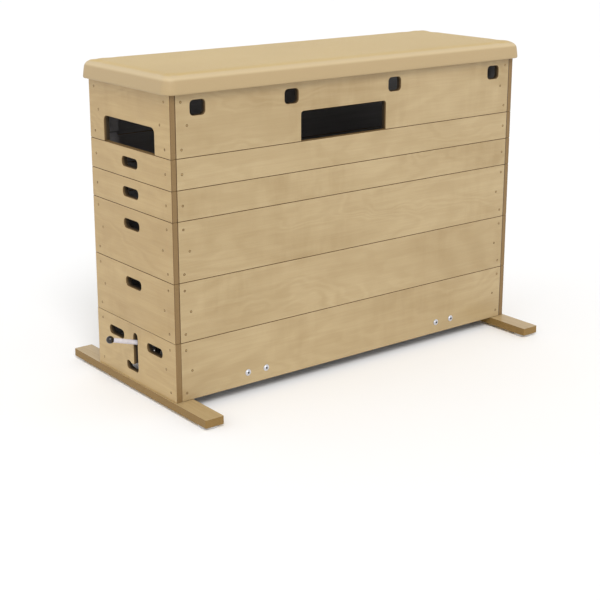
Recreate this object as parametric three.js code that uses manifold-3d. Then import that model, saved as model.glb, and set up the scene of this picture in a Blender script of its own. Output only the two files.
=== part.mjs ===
// Sectional gymnastics vaulting box: a base on skids with a lever-operated castor gear, four loose
// sections, and a top section with a padded lid. Millimetres, +Z up, floor at Z = 0.
// The box's long sides run along X and the lever end faces -X.
import * as THREE from "three";
import { mergeVertices } from "three/addons/utils/BufferGeometryUtils.js";
import Module from "manifold-3d";

const wasm = await Module();
wasm.setup();

// Clearances that every piece shares
const seatGap = 0.3;
const runningGap = 0.3;
const cutOverrun = 5;
const weldOverlap = 1;
const weldDistance = 0.001;

// The wooden box
const boxLength = 1500;
const boxWidth = 500;
const plyThickness = 20;
const panelChamfer = 1.5;
const baseHeight = 200;
const tallSectionHeight = 200;
const shortSectionHeight = 100;
const topHeight = 203;
const sectionTable = [
  { name: "section_2", height: tallSectionHeight },
  { name: "section_3", height: tallSectionHeight },
  { name: "section_4", height: shortSectionHeight },
  { name: "section_5", height: shortSectionHeight },
];

// Corner posts, whose tips locate the section above
const postSize = 50;
const postChamfer = 2;
const spigotHeight = 20;
const spigotClearance = 1.5;
const spigotTaper = 5;
const spigotHeadroom = 2;

// Hand-holds in the end panels
const handHoldLength = 96;
const handHoldHeight = 32;
const handHoldRadius = 13;
const tallHandHoldRise = 145;
const shortHandHoldRise = 52;
const baseHandHoldOffset = 122;

// Cut-outs of the top section
const endNotchLength = 312;
const endNotchHeight = 86;
const endNotchRadius = 18;
const sideNotchLength = 368;
const sideNotchHeight = 100;
const sideNotchRadius = 10;
const sideNotchOffset = -58;
const poleHoleLength = 56;
const poleHoleHeight = 48;
const poleHoleRadius = 13;
const poleHoleRise = 154;
const innerPoleHoleSpread = 224;
const outerPoleHoleFromEnd = 102;

// Skids and feet
const skidLength = 850;
const skidWidth = 70;
const skidHeight = 27;
const skidChamfer = 2;
const skidProud = 6;
const footHeight = 10;
const footRadius = 33;
const footChamfer = 3;
const footEndMargin = 3;
const footScrewRadius = 9;
const footScrewDepth = 5;

// Padded lid
const padHeight = 63;
const padOverhang = 24;
const padCornerRadius = 40;
const padTopRound = 24;
const padBottomRound = 5;
const padCrown = 4;
const padDrawIn = 2;
const padLeastCornerRadius = 2;
const coverThickness = 2.5;
const hemClearance = 1;
const boardOverhang = padOverhang - padDrawIn - coverThickness - seatGap;
const boardThickness = 18;
const boardChamfer = 2;
const crownSpanShare = 0.94;
const sideRingSteps = 6;
const endRingSteps = 3;
const cornerRingSteps = 5;
const roundRingSteps = 4;
const crownRingSteps = 3;

// Pivot shafts of the castor gear
const shaftFromEnd = 320;
const shaftRise = 42;
const shaftRadius = 10;
const leverAngle = THREE.MathUtils.degToRad(17);

// Bearing plates, bolted through the side panels
const bearingLength = 116;
const bearingHeight = 56;
const bearingThickness = 5;
const bearingCornerRadius = 8;
const bossRadius = 17;
const bossLength = 12;
const boltSpacing = 75;
const boltRadius = 4;
const boltHoleClearance = 0.7;
const boltHeadRadius = 11;
const boltHeadHeight = 4;
const boltHeadChamfer = 1.5;
const boltSocketRadius = 4.6;
const boltSocketDepth = 2.5;
const boltNutRadius = 8.5;
const boltNutHeight = 6.5;
const stopPinRadius = 5;
const stopPinRise = 30;
const stopPinLength = 31;

// Arms that carry the castors
const armFromWall = 84.7;
const armSpread = boxWidth / 2 - plyThickness - seatGap - armFromWall;
const armLength = 82;
const armWidth = 50;
const armThickness = 8;
const armHeel = 20;
const gussetThickness = 6;
const gussetReach = 48;
const gussetDrop = 8;
const stopFingerWidth = 12;
const stopFingerLength = 38;
const stopFingerThickness = 7;
const stopFingerGap = 1.7;

// Cranks and the link rod between the two shafts
const crankRadius = 30;
const crankThickness = 8;
const crankOffset = 30;
const crankHubRadius = 17;
const crankEyeRadius = 11;
const crankPinRadius = 5;
const crankHeadRadius = 8;
const crankHeadThickness = 2.5;
const eyeSideGap = 0.5;
const rodEyeRadius = 12;
const rodEyeThickness = 12;
const rodRadius = 6;
const openPivotClearance = 1.3;

// Hand lever
const leverLength = 435;
const leverRadius = 8;
const leverChamfer = 1.5;
const leverHubRadius = 16;
const leverHubLength = 34;
const leverPinReach = 31;
const leverPinRadius = 4;
const leverPinHeadRadius = 7;
const leverPinHeadHeight = 4;
const leverEarThickness = 6;
const leverEarRadius = 13;
const tongueThickness = 10;
const tongueRadius = 12;
const tongueLength = 30;
const knobRadius = 13;
const knobNeckShare = 0.85;
const knobStubRadius = 4;
const knobStubDepth = 13;

// Slot in the lever end: the lever moves in its upright leg and locks in its hook
const slotWidth = 28;
const slotTopRise = 172;
const slotFloorClearance = 1;
const hookReach = 60;
const hookHeight = 24;
const hookLift = 6;

// Castors
const wheelRadius = 37.5;
const wheelWidth = 24;
const wheelShoulder = 7;
const wheelHubRadius = 13;
const wheelDish = 3;
const wheelRimRadius = 27;
const wheelDrop = 56.5;
const castorTrail = 25;
const axleRadius = 4;
const axleHeadRadius = 8;
const axleHeadHeight = 4;
const forkThickness = 3;
const forkWheelGap = 2;
const forkTopLength = 34;
const forkTopLean = 3;
const forkEyeRadius = 11;
const forkShoulder = 9;
const raceRadius = 23;
const raceNeckRadius = 19;
const raceHeight = 9.7;
const stemRadius = 6;
const stemNutRadius = 11;
const stemNutHeight = 8;
const stemTail = 3;

// Return springs, wound round the lever shaft
const springWireRadius = 1.75;
const springShaftGap = 1.2;
const springTurnGap = 0.6;
const springTurns = 5;
const springArmGap = 3;
const springFixedLeg = 38;
const springMovingReach = 45;
const springBendRadius = 4;
const springToe = 16;
const springSides = 5;
const springTurnSteps = 8;

// Facet counts
const coarseArcSteps = 1;
const arcSteps = 2;
const fineArcSteps = 3;
const roundSides = 16;
const smallSides = 12;
const wheelSides = 20;
const ballSides = 14;
const hexSides = 6;
const quarter = Math.PI / 2;

// Heights of the stack, each piece ending one seat gap below the next
const skidBottom = footHeight;
const baseBottom = skidBottom + skidHeight;
const sectionBottoms = [];
let stackHeight = baseBottom + baseHeight;
for (const section of sectionTable) {
  sectionBottoms.push(stackHeight);
  stackHeight += section.height;
}
const topBottom = stackHeight;
const lidBottom = topBottom + topHeight;
const shaftHeight = baseBottom + shaftRise;
const shaftX = boxLength / 2 - shaftFromEnd;
const innerHalfLength = boxLength / 2 - plyThickness;
const innerHalfWidth = boxWidth / 2 - plyThickness;

// The origin is the bottom centre of everything, lever included, so the box stands off to one side of it
const knobReach = shaftX + leverLength * Math.cos(leverAngle) + knobRadius;
const lidReach = boxLength / 2 + padOverhang;
const boxShift = (knobReach - lidReach) / 2;

const finish = (color, roughness, metalness) =>
  new THREE.MeshStandardMaterial({ color, roughness, metalness });
const plywood = () => finish(0xc8ae84, 0.55, 0);
const beech = () => finish(0x9c7440, 0.6, 0);
const leather = () => finish(0xd3b98d, 0.5, 0);
const foam = () => finish(0xe8e2c8, 0.95, 0);
const zincSteel = () => finish(0xb9bcc2, 0.35, 0.9);
const springSteel = () => finish(0x8a8d92, 0.4, 0.9);
const blackPlastic = () => finish(0x1c1b1e, 0.35, 0);
const greyRubber = () => finish(0xb9b9b6, 0.8, 0);
const tyreRubber = () => finish(0x6a6a6a, 0.8, 0);

// Closed geometry with shared vertices
function welded(geometry) {
  const bare = geometry.clone();
  bare.deleteAttribute("normal");
  bare.deleteAttribute("uv");
  const merged = mergeVertices(bare, weldDistance);
  merged.computeVertexNormals();
  return merged;
}

function toSolid(geometry) {
  const closed = welded(geometry);
  return new wasm.Manifold(
    new wasm.Mesh({
      numProp: 3,
      vertProperties: new Float32Array(closed.getAttribute("position").array),
      triVerts: new Uint32Array(closed.getIndex().array),
    }),
  );
}

function toGeometry(solid) {
  const mesh = solid.getMesh();
  const geometry = new THREE.BufferGeometry();
  geometry.setAttribute("position", new THREE.BufferAttribute(mesh.vertProperties, 3));
  geometry.setIndex(new THREE.BufferAttribute(mesh.triVerts, 1));
  geometry.computeVertexNormals();
  return geometry;
}

function join(first, ...others) {
  return toGeometry(others.reduce((solid, other) => solid.add(toSolid(other)), toSolid(first)));
}

function cut(body, ...tools) {
  return toGeometry(tools.reduce((solid, tool) => solid.subtract(toSolid(tool)), toSolid(body)));
}

// Outlines
function addRoundedRectangle(path, centreX, centreY, width, height, radius) {
  const right = centreX + width / 2;
  const left = centreX - width / 2;
  const top = centreY + height / 2;
  const bottom = centreY - height / 2;
  path.moveTo(left + radius, bottom);
  path.lineTo(right - radius, bottom);
  path.absarc(right - radius, bottom + radius, radius, -quarter, 0, false);
  path.lineTo(right, top - radius);
  path.absarc(right - radius, top - radius, radius, 0, quarter, false);
  path.lineTo(left + radius, top);
  path.absarc(left + radius, top - radius, radius, quarter, 2 * quarter, false);
  path.lineTo(left, bottom + radius);
  path.absarc(left + radius, bottom + radius, radius, 2 * quarter, 3 * quarter, false);
  return path;
}

function addCircle(path, centreX, centreY, radius) {
  path.moveTo(centreX + radius, centreY);
  for (let turn = 0; turn < 4; turn += 1) {
    path.absarc(centreX, centreY, radius, turn * quarter, (turn + 1) * quarter, false);
  }
  return path;
}

function rectangle(left, bottom, right, top) {
  const shape = new THREE.Shape();
  shape.moveTo(left, bottom);
  shape.lineTo(right, bottom);
  shape.lineTo(right, top);
  shape.lineTo(left, top);
  shape.closePath();
  return shape;
}

// Rectangle that stands on the axis line, with a notch of rounded top corners cut up from its lower edge
function notchedRectangle(halfWidth, height, notchCentre, notchLength, notchHeight, notchRadius) {
  const notchLeft = notchCentre - notchLength / 2;
  const notchRight = notchCentre + notchLength / 2;
  const shape = new THREE.Shape();
  shape.moveTo(-halfWidth, 0);
  shape.lineTo(notchLeft, 0);
  shape.lineTo(notchLeft, notchHeight - notchRadius);
  shape.absarc(
    notchLeft + notchRadius, notchHeight - notchRadius, notchRadius, 2 * quarter, quarter, true,
  );
  shape.lineTo(notchRight - notchRadius, notchHeight);
  shape.absarc(notchRight - notchRadius, notchHeight - notchRadius, notchRadius, quarter, 0, true);
  shape.lineTo(notchRight, 0);
  shape.lineTo(halfWidth, 0);
  shape.lineTo(halfWidth, height);
  shape.lineTo(-halfWidth, height);
  shape.closePath();
  return shape;
}

// Flat bar whose two round ends have their own radii
function linkOutline(fromX, fromY, fromRadius, toX, toY, toRadius) {
  const along = Math.atan2(toY - fromY, toX - fromX);
  const distance = Math.hypot(toX - fromX, toY - fromY);
  const lean = Math.acos((fromRadius - toRadius) / distance);
  const shape = new THREE.Shape();
  shape.absarc(toX, toY, toRadius, along - lean, along, false);
  shape.absarc(toX, toY, toRadius, along, along + lean, false);
  shape.absarc(fromX, fromY, fromRadius, along + lean, along + 2 * quarter, false);
  shape.absarc(fromX, fromY, fromRadius, along + 2 * quarter, along + 4 * quarter - lean, false);
  shape.closePath();
  return shape;
}

// Slabs: an outline with thickness between two planes, its edges chamfered
function slabZ(outline, from, to, chamfer = 0, steps = arcSteps) {
  const geometry = new THREE.ExtrudeGeometry(outline, {
    depth: to - from - 2 * chamfer,
    bevelEnabled: chamfer > 0,
    bevelThickness: chamfer,
    bevelSize: chamfer,
    bevelOffset: -chamfer,
    bevelSegments: 1,
    curveSegments: steps,
  });
  return geometry.translate(0, 0, from + chamfer);
}

const axisX = new THREE.Vector3(1, 0, 0);
const axisY = new THREE.Vector3(0, 1, 0);
const axisZ = new THREE.Vector3(0, 0, 1);
const facingX = new THREE.Matrix4().makeBasis(axisY, axisZ, axisX);
const facingY = new THREE.Matrix4().makeBasis(axisX, axisZ, axisY.clone().negate());

// The outline's own axes become Y and Z
function slabX(outline, from, to, chamfer = 0, steps = arcSteps) {
  return slabZ(outline, 0, to - from, chamfer, steps).applyMatrix4(facingX).translate(from, 0, 0);
}

// The outline's own axes become X and Z
function slabY(outline, from, to, chamfer = 0, steps = arcSteps) {
  return slabZ(outline, 0, to - from, chamfer, steps).applyMatrix4(facingY).translate(0, to, 0);
}

// Rods and turned pieces; a turned profile may be listed from either end
function rodY(radius, from, to, sides = roundSides) {
  const length = Math.abs(to - from);
  return new THREE.CylinderGeometry(radius, radius, length, sides).translate(0, (from + to) / 2, 0);
}

function rodZ(radius, from, to, sides = roundSides) {
  return rodY(radius, from, to, sides).rotateX(quarter);
}

function turnedY(profile, sides = roundSides) {
  const points = profile.map(([radius, along]) => new THREE.Vector2(radius, along));
  if (THREE.ShapeUtils.area(points) < 0) {
    points.reverse();
  }
  return new THREE.LatheGeometry(points, sides);
}

function turnedZ(profile, sides = roundSides) {
  return turnedY(profile, sides).rotateX(quarter);
}

function turnedX(profile, sides = roundSides) {
  return turnedY(profile, sides).rotateZ(-quarter);
}

// A mesh of the scene graph
function piece(parent, name, geometry, material) {
  const mesh = new THREE.Mesh(welded(geometry), material);
  mesh.name = name;
  parent.add(mesh);
  return mesh;
}

// Panels of the wooden box, each in its section's own frame with Z = 0 at the section's lower edge
function endPanel(outline, end) {
  const inner = innerHalfLength;
  const outer = boxLength / 2;
  return end < 0
    ? slabX(outline, -outer, -inner, panelChamfer)
    : slabX(outline, inner, outer, panelChamfer);
}

function sidePanel(outline, side) {
  const inner = innerHalfWidth;
  const outer = boxWidth / 2;
  return side < 0
    ? slabY(outline, -outer, -inner, panelChamfer, coarseArcSteps)
    : slabY(outline, inner, outer, panelChamfer, coarseArcSteps);
}

function cutHandHold(outline, centreY, rise) {
  const hole = new THREE.Path();
  outline.holes.push(
    addRoundedRectangle(hole, centreY, rise, handHoldLength, handHoldHeight, handHoldRadius),
  );
}

function endOutline(height) {
  return rectangle(-boxWidth / 2, 0, boxWidth / 2, height - seatGap);
}

function sideOutline(height) {
  const half = innerHalfLength - seatGap;
  return rectangle(-half, 0, half, height - seatGap);
}

// Corner post from one height to another, with a tapered tip where it locates the section above
function cornerPost(end, side, from, to, wallGap, hasSpigot) {
  const outerX = end * (innerHalfLength - seatGap);
  const outerY = side * (innerHalfWidth + wallGap);
  const innerX = end * (innerHalfLength - postSize);
  const innerY = side * (innerHalfWidth - postSize);
  const outline = rectangle(
    Math.min(outerX, innerX), Math.min(outerY, innerY), Math.max(outerX, innerX), Math.max(outerY, innerY),
  );
  const block = slabZ(outline, from, to, postChamfer);
  if (!hasSpigot) {
    return block;
  }
  const baseHalf = postSize / 2 - spigotClearance;
  const tipHalf = baseHalf - spigotTaper;
  const sunk = postChamfer + weldOverlap;
  const tip = new THREE.CylinderGeometry(
    tipHalf * Math.SQRT2, baseHalf * Math.SQRT2, spigotHeight + sunk, 4,
  );
  tip.rotateY(quarter / 2).rotateX(quarter);
  tip.translate(
    end * (innerHalfLength - postSize / 2),
    side * (innerHalfWidth - postSize / 2),
    to + (spigotHeight - sunk) / 2,
  );
  return join(block, tip);
}

const endNames = [
  [-1, "lever_end"],
  [1, "plain_end"],
];
const sideNames = [
  [-1, "front"],
  [1, "rear"],
];

// Loose section: two end panels, and two side panels with their corner posts glued on
function addSection(parent, name, height, bottom) {
  const group = new THREE.Group();
  group.position.z = bottom;
  parent.add(group);
  const handHoldRise = height === shortSectionHeight ? shortHandHoldRise : tallHandHoldRise;
  for (const [end, endName] of endNames) {
    const outline = endOutline(height);
    cutHandHold(outline, 0, handHoldRise);
    piece(group, `${name}_${endName}`, endPanel(outline, end), plywood());
  }
  for (const [side, sideName] of sideNames) {
    const posts = endNames.map(([end]) =>
      cornerPost(
        end, side, spigotHeight + spigotHeadroom, height - seatGap, weldOverlap, true,
      ),
    );
    const panel = sidePanel(sideOutline(height), side);
    piece(group, `${name}_${sideName}`, join(panel, ...posts), plywood());
  }
}

// Slot for the hand lever: an upright leg with a round top, and a hook at its foot with a lifted end
function leverSlot() {
  const half = slotWidth / 2;
  const floor = shaftRise - leverRadius - slotFloorClearance;
  const corner = hookHeight / 2;
  const hookCentre = hookReach - corner;
  const hookTop = floor + hookHeight;
  const liftCentre = hookTop + hookLift - corner;
  const liftStart = Math.asin((hookTop - liftCentre) / corner);
  const path = new THREE.Path();
  path.moveTo(-half, slotTopRise - half);
  path.lineTo(-half, floor + corner);
  path.absarc(corner - half, floor + corner, corner, 2 * quarter, 3 * quarter, false);
  path.lineTo(hookCentre, floor);
  path.absarc(hookCentre, floor + corner, corner, 3 * quarter, 4 * quarter, false);
  path.lineTo(hookReach, liftCentre);
  path.absarc(hookCentre, liftCentre, corner, 0, quarter, false);
  path.absarc(hookCentre, liftCentre, corner, quarter, 2 * quarter - liftStart, false);
  path.lineTo(half, hookTop);
  path.lineTo(half, slotTopRise - half);
  path.absarc(0, slotTopRise - half, half, 0, quarter, false);
  path.absarc(0, slotTopRise - half, half, quarter, 2 * quarter, false);
  return path;
}

// Rubber foot, recessed underneath for its screw
function foot() {
  const top = footHeight - seatGap;
  return turnedZ([
    [0, top],
    [footRadius - footChamfer, top],
    [footRadius, top - footChamfer],
    [footRadius, footChamfer],
    [footRadius - footChamfer, 0],
    [footScrewRadius, 0],
    [footScrewRadius, footScrewDepth],
    [0, footScrewDepth],
  ]);
}

// Bearing plate with its boss, stop pin and two through bolts, round the shaft's axis as origin
function bearingPlate(side) {
  const wall = innerHalfWidth - seatGap;
  const face = wall - bearingThickness;
  const outline = new THREE.Shape();
  addRoundedRectangle(outline, 0, 0, bearingLength, bearingHeight, bearingCornerRadius);
  const plate =
    side < 0
      ? slabY(outline, -wall, -face, 0, coarseArcSteps)
      : slabY(outline, face, wall, 0, coarseArcSteps);
  const boss = rodY(bossRadius, side * (face + weldOverlap), side * (face - bossLength));
  const stopPin = rodY(
    stopPinRadius, side * (face + weldOverlap), side * (face - stopPinLength), smallSides,
  );
  stopPin.translate(stopPinX, 0, stopPinRise);
  const bolts = [];
  const sockets = [];
  for (const end of [-1, 1]) {
    const outside = boxWidth / 2 + seatGap;
    const bolt = turnedY([
      [0, face - boltNutHeight - weldOverlap],
      [boltRadius, face - boltNutHeight - weldOverlap],
      [boltRadius, outside],
      [boltHeadRadius, outside],
      [boltHeadRadius, outside + boltHeadHeight - boltHeadChamfer],
      [boltHeadRadius - boltHeadChamfer, outside + boltHeadHeight],
      [0, outside + boltHeadHeight],
    ], smallSides);
    const nut = rodY(boltNutRadius, face - boltNutHeight, face + weldOverlap, hexSides);
    const headTop = outside + boltHeadHeight;
    const socket = rodY(boltSocketRadius, headTop - boltSocketDepth, headTop + cutOverrun, hexSides);
    for (const turned of [bolt, nut, socket]) {
      turned.rotateX(side < 0 ? 2 * quarter : 0).translate(end * boltSpacing / 2, 0, 0);
    }
    bolts.push(bolt, nut);
    sockets.push(socket);
  }
  const bore = rodY(
    shaftRadius + runningGap, side * (wall + cutOverrun), side * (face - bossLength - cutOverrun),
  );
  return cut(join(plate, boss, stopPin, ...bolts), bore, ...sockets);
}

// Return spring: a coil round the shaft, one leg standing against the stop pin, the other under the arm
const springCoilRadius = shaftRadius + springShaftGap + springWireRadius;
const stopPinX = springCoilRadius - springWireRadius - seatGap - stopPinRadius;
const springPitch = 2 * springWireRadius + springTurnGap;

function springPath(side) {
  const points = [];
  const add = (x, y, z) => points.push(new THREE.Vector3(x, side * y, z));
  const toeX = -springMovingReach;
  const toeZ = shaftRadius - weldOverlap - seatGap - springWireRadius;
  const toeDistance = Math.hypot(toeX, toeZ);
  const toeAngle = Math.atan2(toeZ, toeX);
  const startAngle = toeAngle + Math.acos(springCoilRadius / toeDistance) - leverAngle;
  const startY = armSpread + armWidth / 2 + springArmGap + springWireRadius;
  const start = new THREE.Vector2(
    springCoilRadius * Math.cos(startAngle), springCoilRadius * Math.sin(startAngle),
  );
  const restToe = new THREE.Vector2(toeX, toeZ).rotateAround(new THREE.Vector2(), -leverAngle);
  const legDirection = start.clone().sub(restToe).normalize();
  add(restToe.x, startY - springToe, restToe.y);
  add(restToe.x, startY - springBendRadius, restToe.y);
  const bend = restToe.clone().addScaledVector(legDirection, springBendRadius);
  add(bend.x, startY, bend.y);
  const sweep = 4 * quarter * (springTurns + 1) - startAngle;
  const steps = Math.round((sweep / (4 * quarter)) * springTurnSteps);
  for (let step = 0; step <= steps; step += 1) {
    const angle = startAngle + (sweep * step) / steps;
    const y = startY + (springPitch * (angle - startAngle)) / (4 * quarter);
    add(springCoilRadius * Math.cos(angle), y, springCoilRadius * Math.sin(angle));
  }
  add(springCoilRadius, startY + (springPitch * sweep) / (4 * quarter), springFixedLeg);
  return points;
}

// Round wire through a list of points, with flat ends
function wireAlong(points, radius, sides) {
  const tangents = points.map((point, index) => {
    const before = points[Math.max(index - 1, 0)];
    const after = points[Math.min(index + 1, points.length - 1)];
    return after.clone().sub(before).normalize();
  });
  const normal = new THREE.Vector3().crossVectors(tangents[0], axisX).normalize();
  const positions = [];
  const faces = [];
  points.forEach((point, index) => {
    normal.addScaledVector(tangents[index], -normal.dot(tangents[index])).normalize();
    const across = new THREE.Vector3().crossVectors(tangents[index], normal);
    for (let corner = 0; corner < sides; corner += 1) {
      const angle = (4 * quarter * corner) / sides;
      const at = point.clone();
      at.addScaledVector(normal, radius * Math.cos(angle));
      at.addScaledVector(across, radius * Math.sin(angle));
      positions.push(at.x, at.y, at.z);
    }
  });
  for (let ring = 0; ring + 1 < points.length; ring += 1) {
    for (let corner = 0; corner < sides; corner += 1) {
      const a = ring * sides + corner;
      const b = ring * sides + ((corner + 1) % sides);
      faces.push(a, b, b + sides, a, b + sides, a + sides);
    }
  }
  const last = (points.length - 1) * sides;
  for (let corner = 1; corner + 1 < sides; corner += 1) {
    faces.push(0, corner + 1, corner, last, last + corner, last + corner + 1);
  }
  const geometry = new THREE.BufferGeometry();
  geometry.setAttribute("position", new THREE.Float32BufferAttribute(positions, 3));
  geometry.setIndex(faces);
  return geometry;
}

// Least distance between the surfaces of two turns of a coiled wire
function leastCoilGap(points, radius) {
  const apart = Math.floor(springTurnSteps / 2);
  let least = Infinity;
  for (let first = 0; first < points.length; first += 1) {
    for (let second = first + apart; second < points.length; second += 1) {
      least = Math.min(least, points[first].distanceTo(points[second]));
    }
  }
  return least - 2 * radius;
}

// Welded shaft with castor arms, stop fingers and a crank, in its working pose with the arms level.
// The origin is on the shaft's axis and the arms point to -X.
function shaftWeldment({ crankSide, crankTurn, hasLeverHub }) {
  const shaftHalf = innerHalfWidth - 2 * seatGap;
  const armBottom = shaftRadius - weldOverlap;
  const armTop = armBottom + armThickness;
  const parts = [];
  for (const side of [-1, 1]) {
    const arm = new THREE.Shape();
    arm.moveTo(armHeel, -armWidth / 2);
    arm.lineTo(armHeel, armWidth / 2);
    arm.lineTo(-armLength, armWidth / 2);
    arm.absarc(-armLength, 0, armWidth / 2, quarter, 2 * quarter, false);
    arm.absarc(-armLength, 0, armWidth / 2, 2 * quarter, 3 * quarter, false);
    arm.closePath();
    arm.holes.push(addCircle(new THREE.Path(), -armLength, 0, stemRadius + runningGap));
    parts.push(slabZ(arm, armBottom, armTop, 0, fineArcSteps).translate(0, side * armSpread, 0));
    const gusset = new THREE.Shape();
    gusset.moveTo(0, -gussetDrop);
    gusset.lineTo(0, armBottom + weldOverlap);
    gusset.lineTo(-gussetReach, armBottom + weldOverlap);
    gusset.lineTo(-gussetReach, armBottom - weldOverlap);
    gusset.closePath();
    const gussetY = side * armSpread;
    parts.push(slabY(gusset, gussetY - gussetThickness / 2, gussetY + gussetThickness / 2));
    const fingerOuter = innerHalfWidth - seatGap - bearingThickness - bossLength - stopFingerGap;
    const fingerInner = fingerOuter - stopFingerThickness;
    const fingerX = -stopFingerLength * Math.sin(fingerAngle);
    const fingerZ = stopFingerLength * Math.cos(fingerAngle);
    const finger = linkOutline(0, 0, stopFingerWidth / 2, fingerX, fingerZ, stopFingerWidth / 2);
    parts.push(
      side < 0
        ? slabY(finger, -fingerOuter, -fingerInner)
        : slabY(finger, fingerInner, fingerOuter),
    );
  }
  const pinX = -crankRadius * Math.sin(crankTurn);
  const pinZ = crankRadius * Math.cos(crankTurn);
  const crank = linkOutline(0, 0, crankHubRadius, pinX, pinZ, crankEyeRadius);
  const crankInner = crankSide * crankOffset;
  const crankOuter = crankSide * (crankOffset + crankThickness);
  parts.push(slabY(crank, Math.min(crankInner, crankOuter), Math.max(crankInner, crankOuter)));
  const pinStart = crankOffset + weldOverlap;
  const pinEnd = crankOffset + crankThickness + rodEyeThickness + 2 * eyeSideGap;
  const crankPin = rodY(crankPinRadius, crankSide * pinStart, crankSide * (pinEnd + weldOverlap));
  const crankHead = rodY(crankHeadRadius, crankSide * pinEnd, crankSide * (pinEnd + crankHeadThickness));
  parts.push(crankPin.translate(pinX, 0, pinZ), crankHead.translate(pinX, 0, pinZ));
  if (hasLeverHub) {
    parts.push(rodY(leverHubRadius, -leverHubLength / 2, leverHubLength / 2));
    const ear = linkOutline(0, 0, leverEarRadius, -leverPinReach, 0, leverEarRadius - weldOverlap);
    ear.holes.push(addCircle(new THREE.Path(), -leverPinReach, 0, leverPinRadius + runningGap));
    const earInner = tongueThickness / 2 + runningGap;
    const earOuter = earInner + leverEarThickness;
    parts.push(slabZ(ear, earInner, earOuter), slabZ(ear, -earOuter, -earInner));
  }
  return join(rodY(shaftRadius, -shaftHalf, shaftHalf), ...parts);
}

// The stop finger lies against the stop pin when the arms are up
const stopRadius = Math.hypot(stopPinX, stopPinRise);
const fingerContact = Math.asin((stopFingerWidth / 2 + stopPinRadius + seatGap) / stopRadius);
const fingerAngle = fingerContact - Math.atan2(stopPinX, stopPinRise) + leverAngle;

// Hand lever along -X: a tongue between the hub's ears, a round bar, and a stub for the knob
function handLever() {
  const tongue = new THREE.Shape();
  tongue.moveTo(-leverPinReach - tongueLength, -tongueRadius + leverChamfer);
  tongue.lineTo(-leverPinReach, -tongueRadius);
  tongue.absarc(-leverPinReach, 0, tongueRadius, -quarter, 0, false);
  tongue.absarc(-leverPinReach, 0, tongueRadius, 0, quarter, false);
  tongue.lineTo(-leverPinReach - tongueLength, tongueRadius - leverChamfer);
  tongue.closePath();
  tongue.holes.push(addCircle(new THREE.Path(), -leverPinReach, 0, leverPinRadius + runningGap));
  const blade = slabZ(tongue, -tongueThickness / 2, tongueThickness / 2);
  const barStart = leverPinReach + tongueRadius + leverPinHeadRadius;
  const barEnd = leverLength - knobRadius * knobNeckShare - seatGap;
  const bar = turnedX([
    [0, -barStart],
    [leverRadius - leverChamfer, -barStart],
    [leverRadius, -barStart - leverChamfer],
    [leverRadius, -barEnd + leverChamfer],
    [leverRadius - leverChamfer, -barEnd],
    [knobStubRadius, -barEnd],
    [knobStubRadius, -barEnd - knobStubDepth],
    [0, -barEnd - knobStubDepth],
  ]);
  return join(blade, bar);
}

// Pin on which the lever swings sideways into the hook
function leverPin() {
  const earOuter = tongueThickness / 2 + runningGap + leverEarThickness;
  const headBottom = earOuter + seatGap;
  const stem = rodZ(leverPinRadius, -headBottom - weldOverlap, headBottom + weldOverlap, smallSides);
  const head = rodZ(leverPinHeadRadius, headBottom, headBottom + leverPinHeadHeight, smallSides);
  const nut = rodZ(leverPinHeadRadius, -headBottom - leverPinHeadHeight, -headBottom, hexSides);
  return join(stem, head, nut).translate(-leverPinReach, 0, 0);
}

// Ball knob with a blind bore, its centre at the lever's end
function leverKnob() {
  const neck = knobRadius * knobNeckShare;
  const neckAngle = Math.asin(knobNeckShare);
  const boreRadius = knobStubRadius + runningGap;
  const profile = [
    [0, knobStubDepth - neck],
    [boreRadius, knobStubDepth - neck],
    [boreRadius, -neck],
  ];
  const steps = ballSides / 2;
  for (let step = 0; step <= steps; step += 1) {
    const angle = -neckAngle + ((quarter + neckAngle) * step) / steps;
    profile.push([step < steps ? knobRadius * Math.cos(angle) : 0, knobRadius * Math.sin(angle)]);
  }
  return turnedX(profile, ballSides).rotateZ(2 * quarter).translate(-leverLength, 0, 0);
}

// Link rod along +X from the near eye's centre
function linkRod(length) {
  const nearEye = addCircle(new THREE.Shape(), 0, 0, rodEyeRadius);
  const farEye = addCircle(new THREE.Shape(), length, 0, rodEyeRadius);
  nearEye.holes.push(addCircle(new THREE.Path(), 0, 0, crankPinRadius + runningGap));
  farEye.holes.push(addCircle(new THREE.Path(), length, 0, crankPinRadius + openPivotClearance));
  const half = rodEyeThickness / 2;
  const barEnd = rodEyeRadius - weldOverlap;
  const bar = rodY(rodRadius, barEnd, length - barEnd).rotateZ(-quarter);
  return join(
    bar,
    slabY(nearEye, -half, half, 0, fineArcSteps),
    slabY(farEye, -half, half, 0, fineArcSteps),
  );
}

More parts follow.
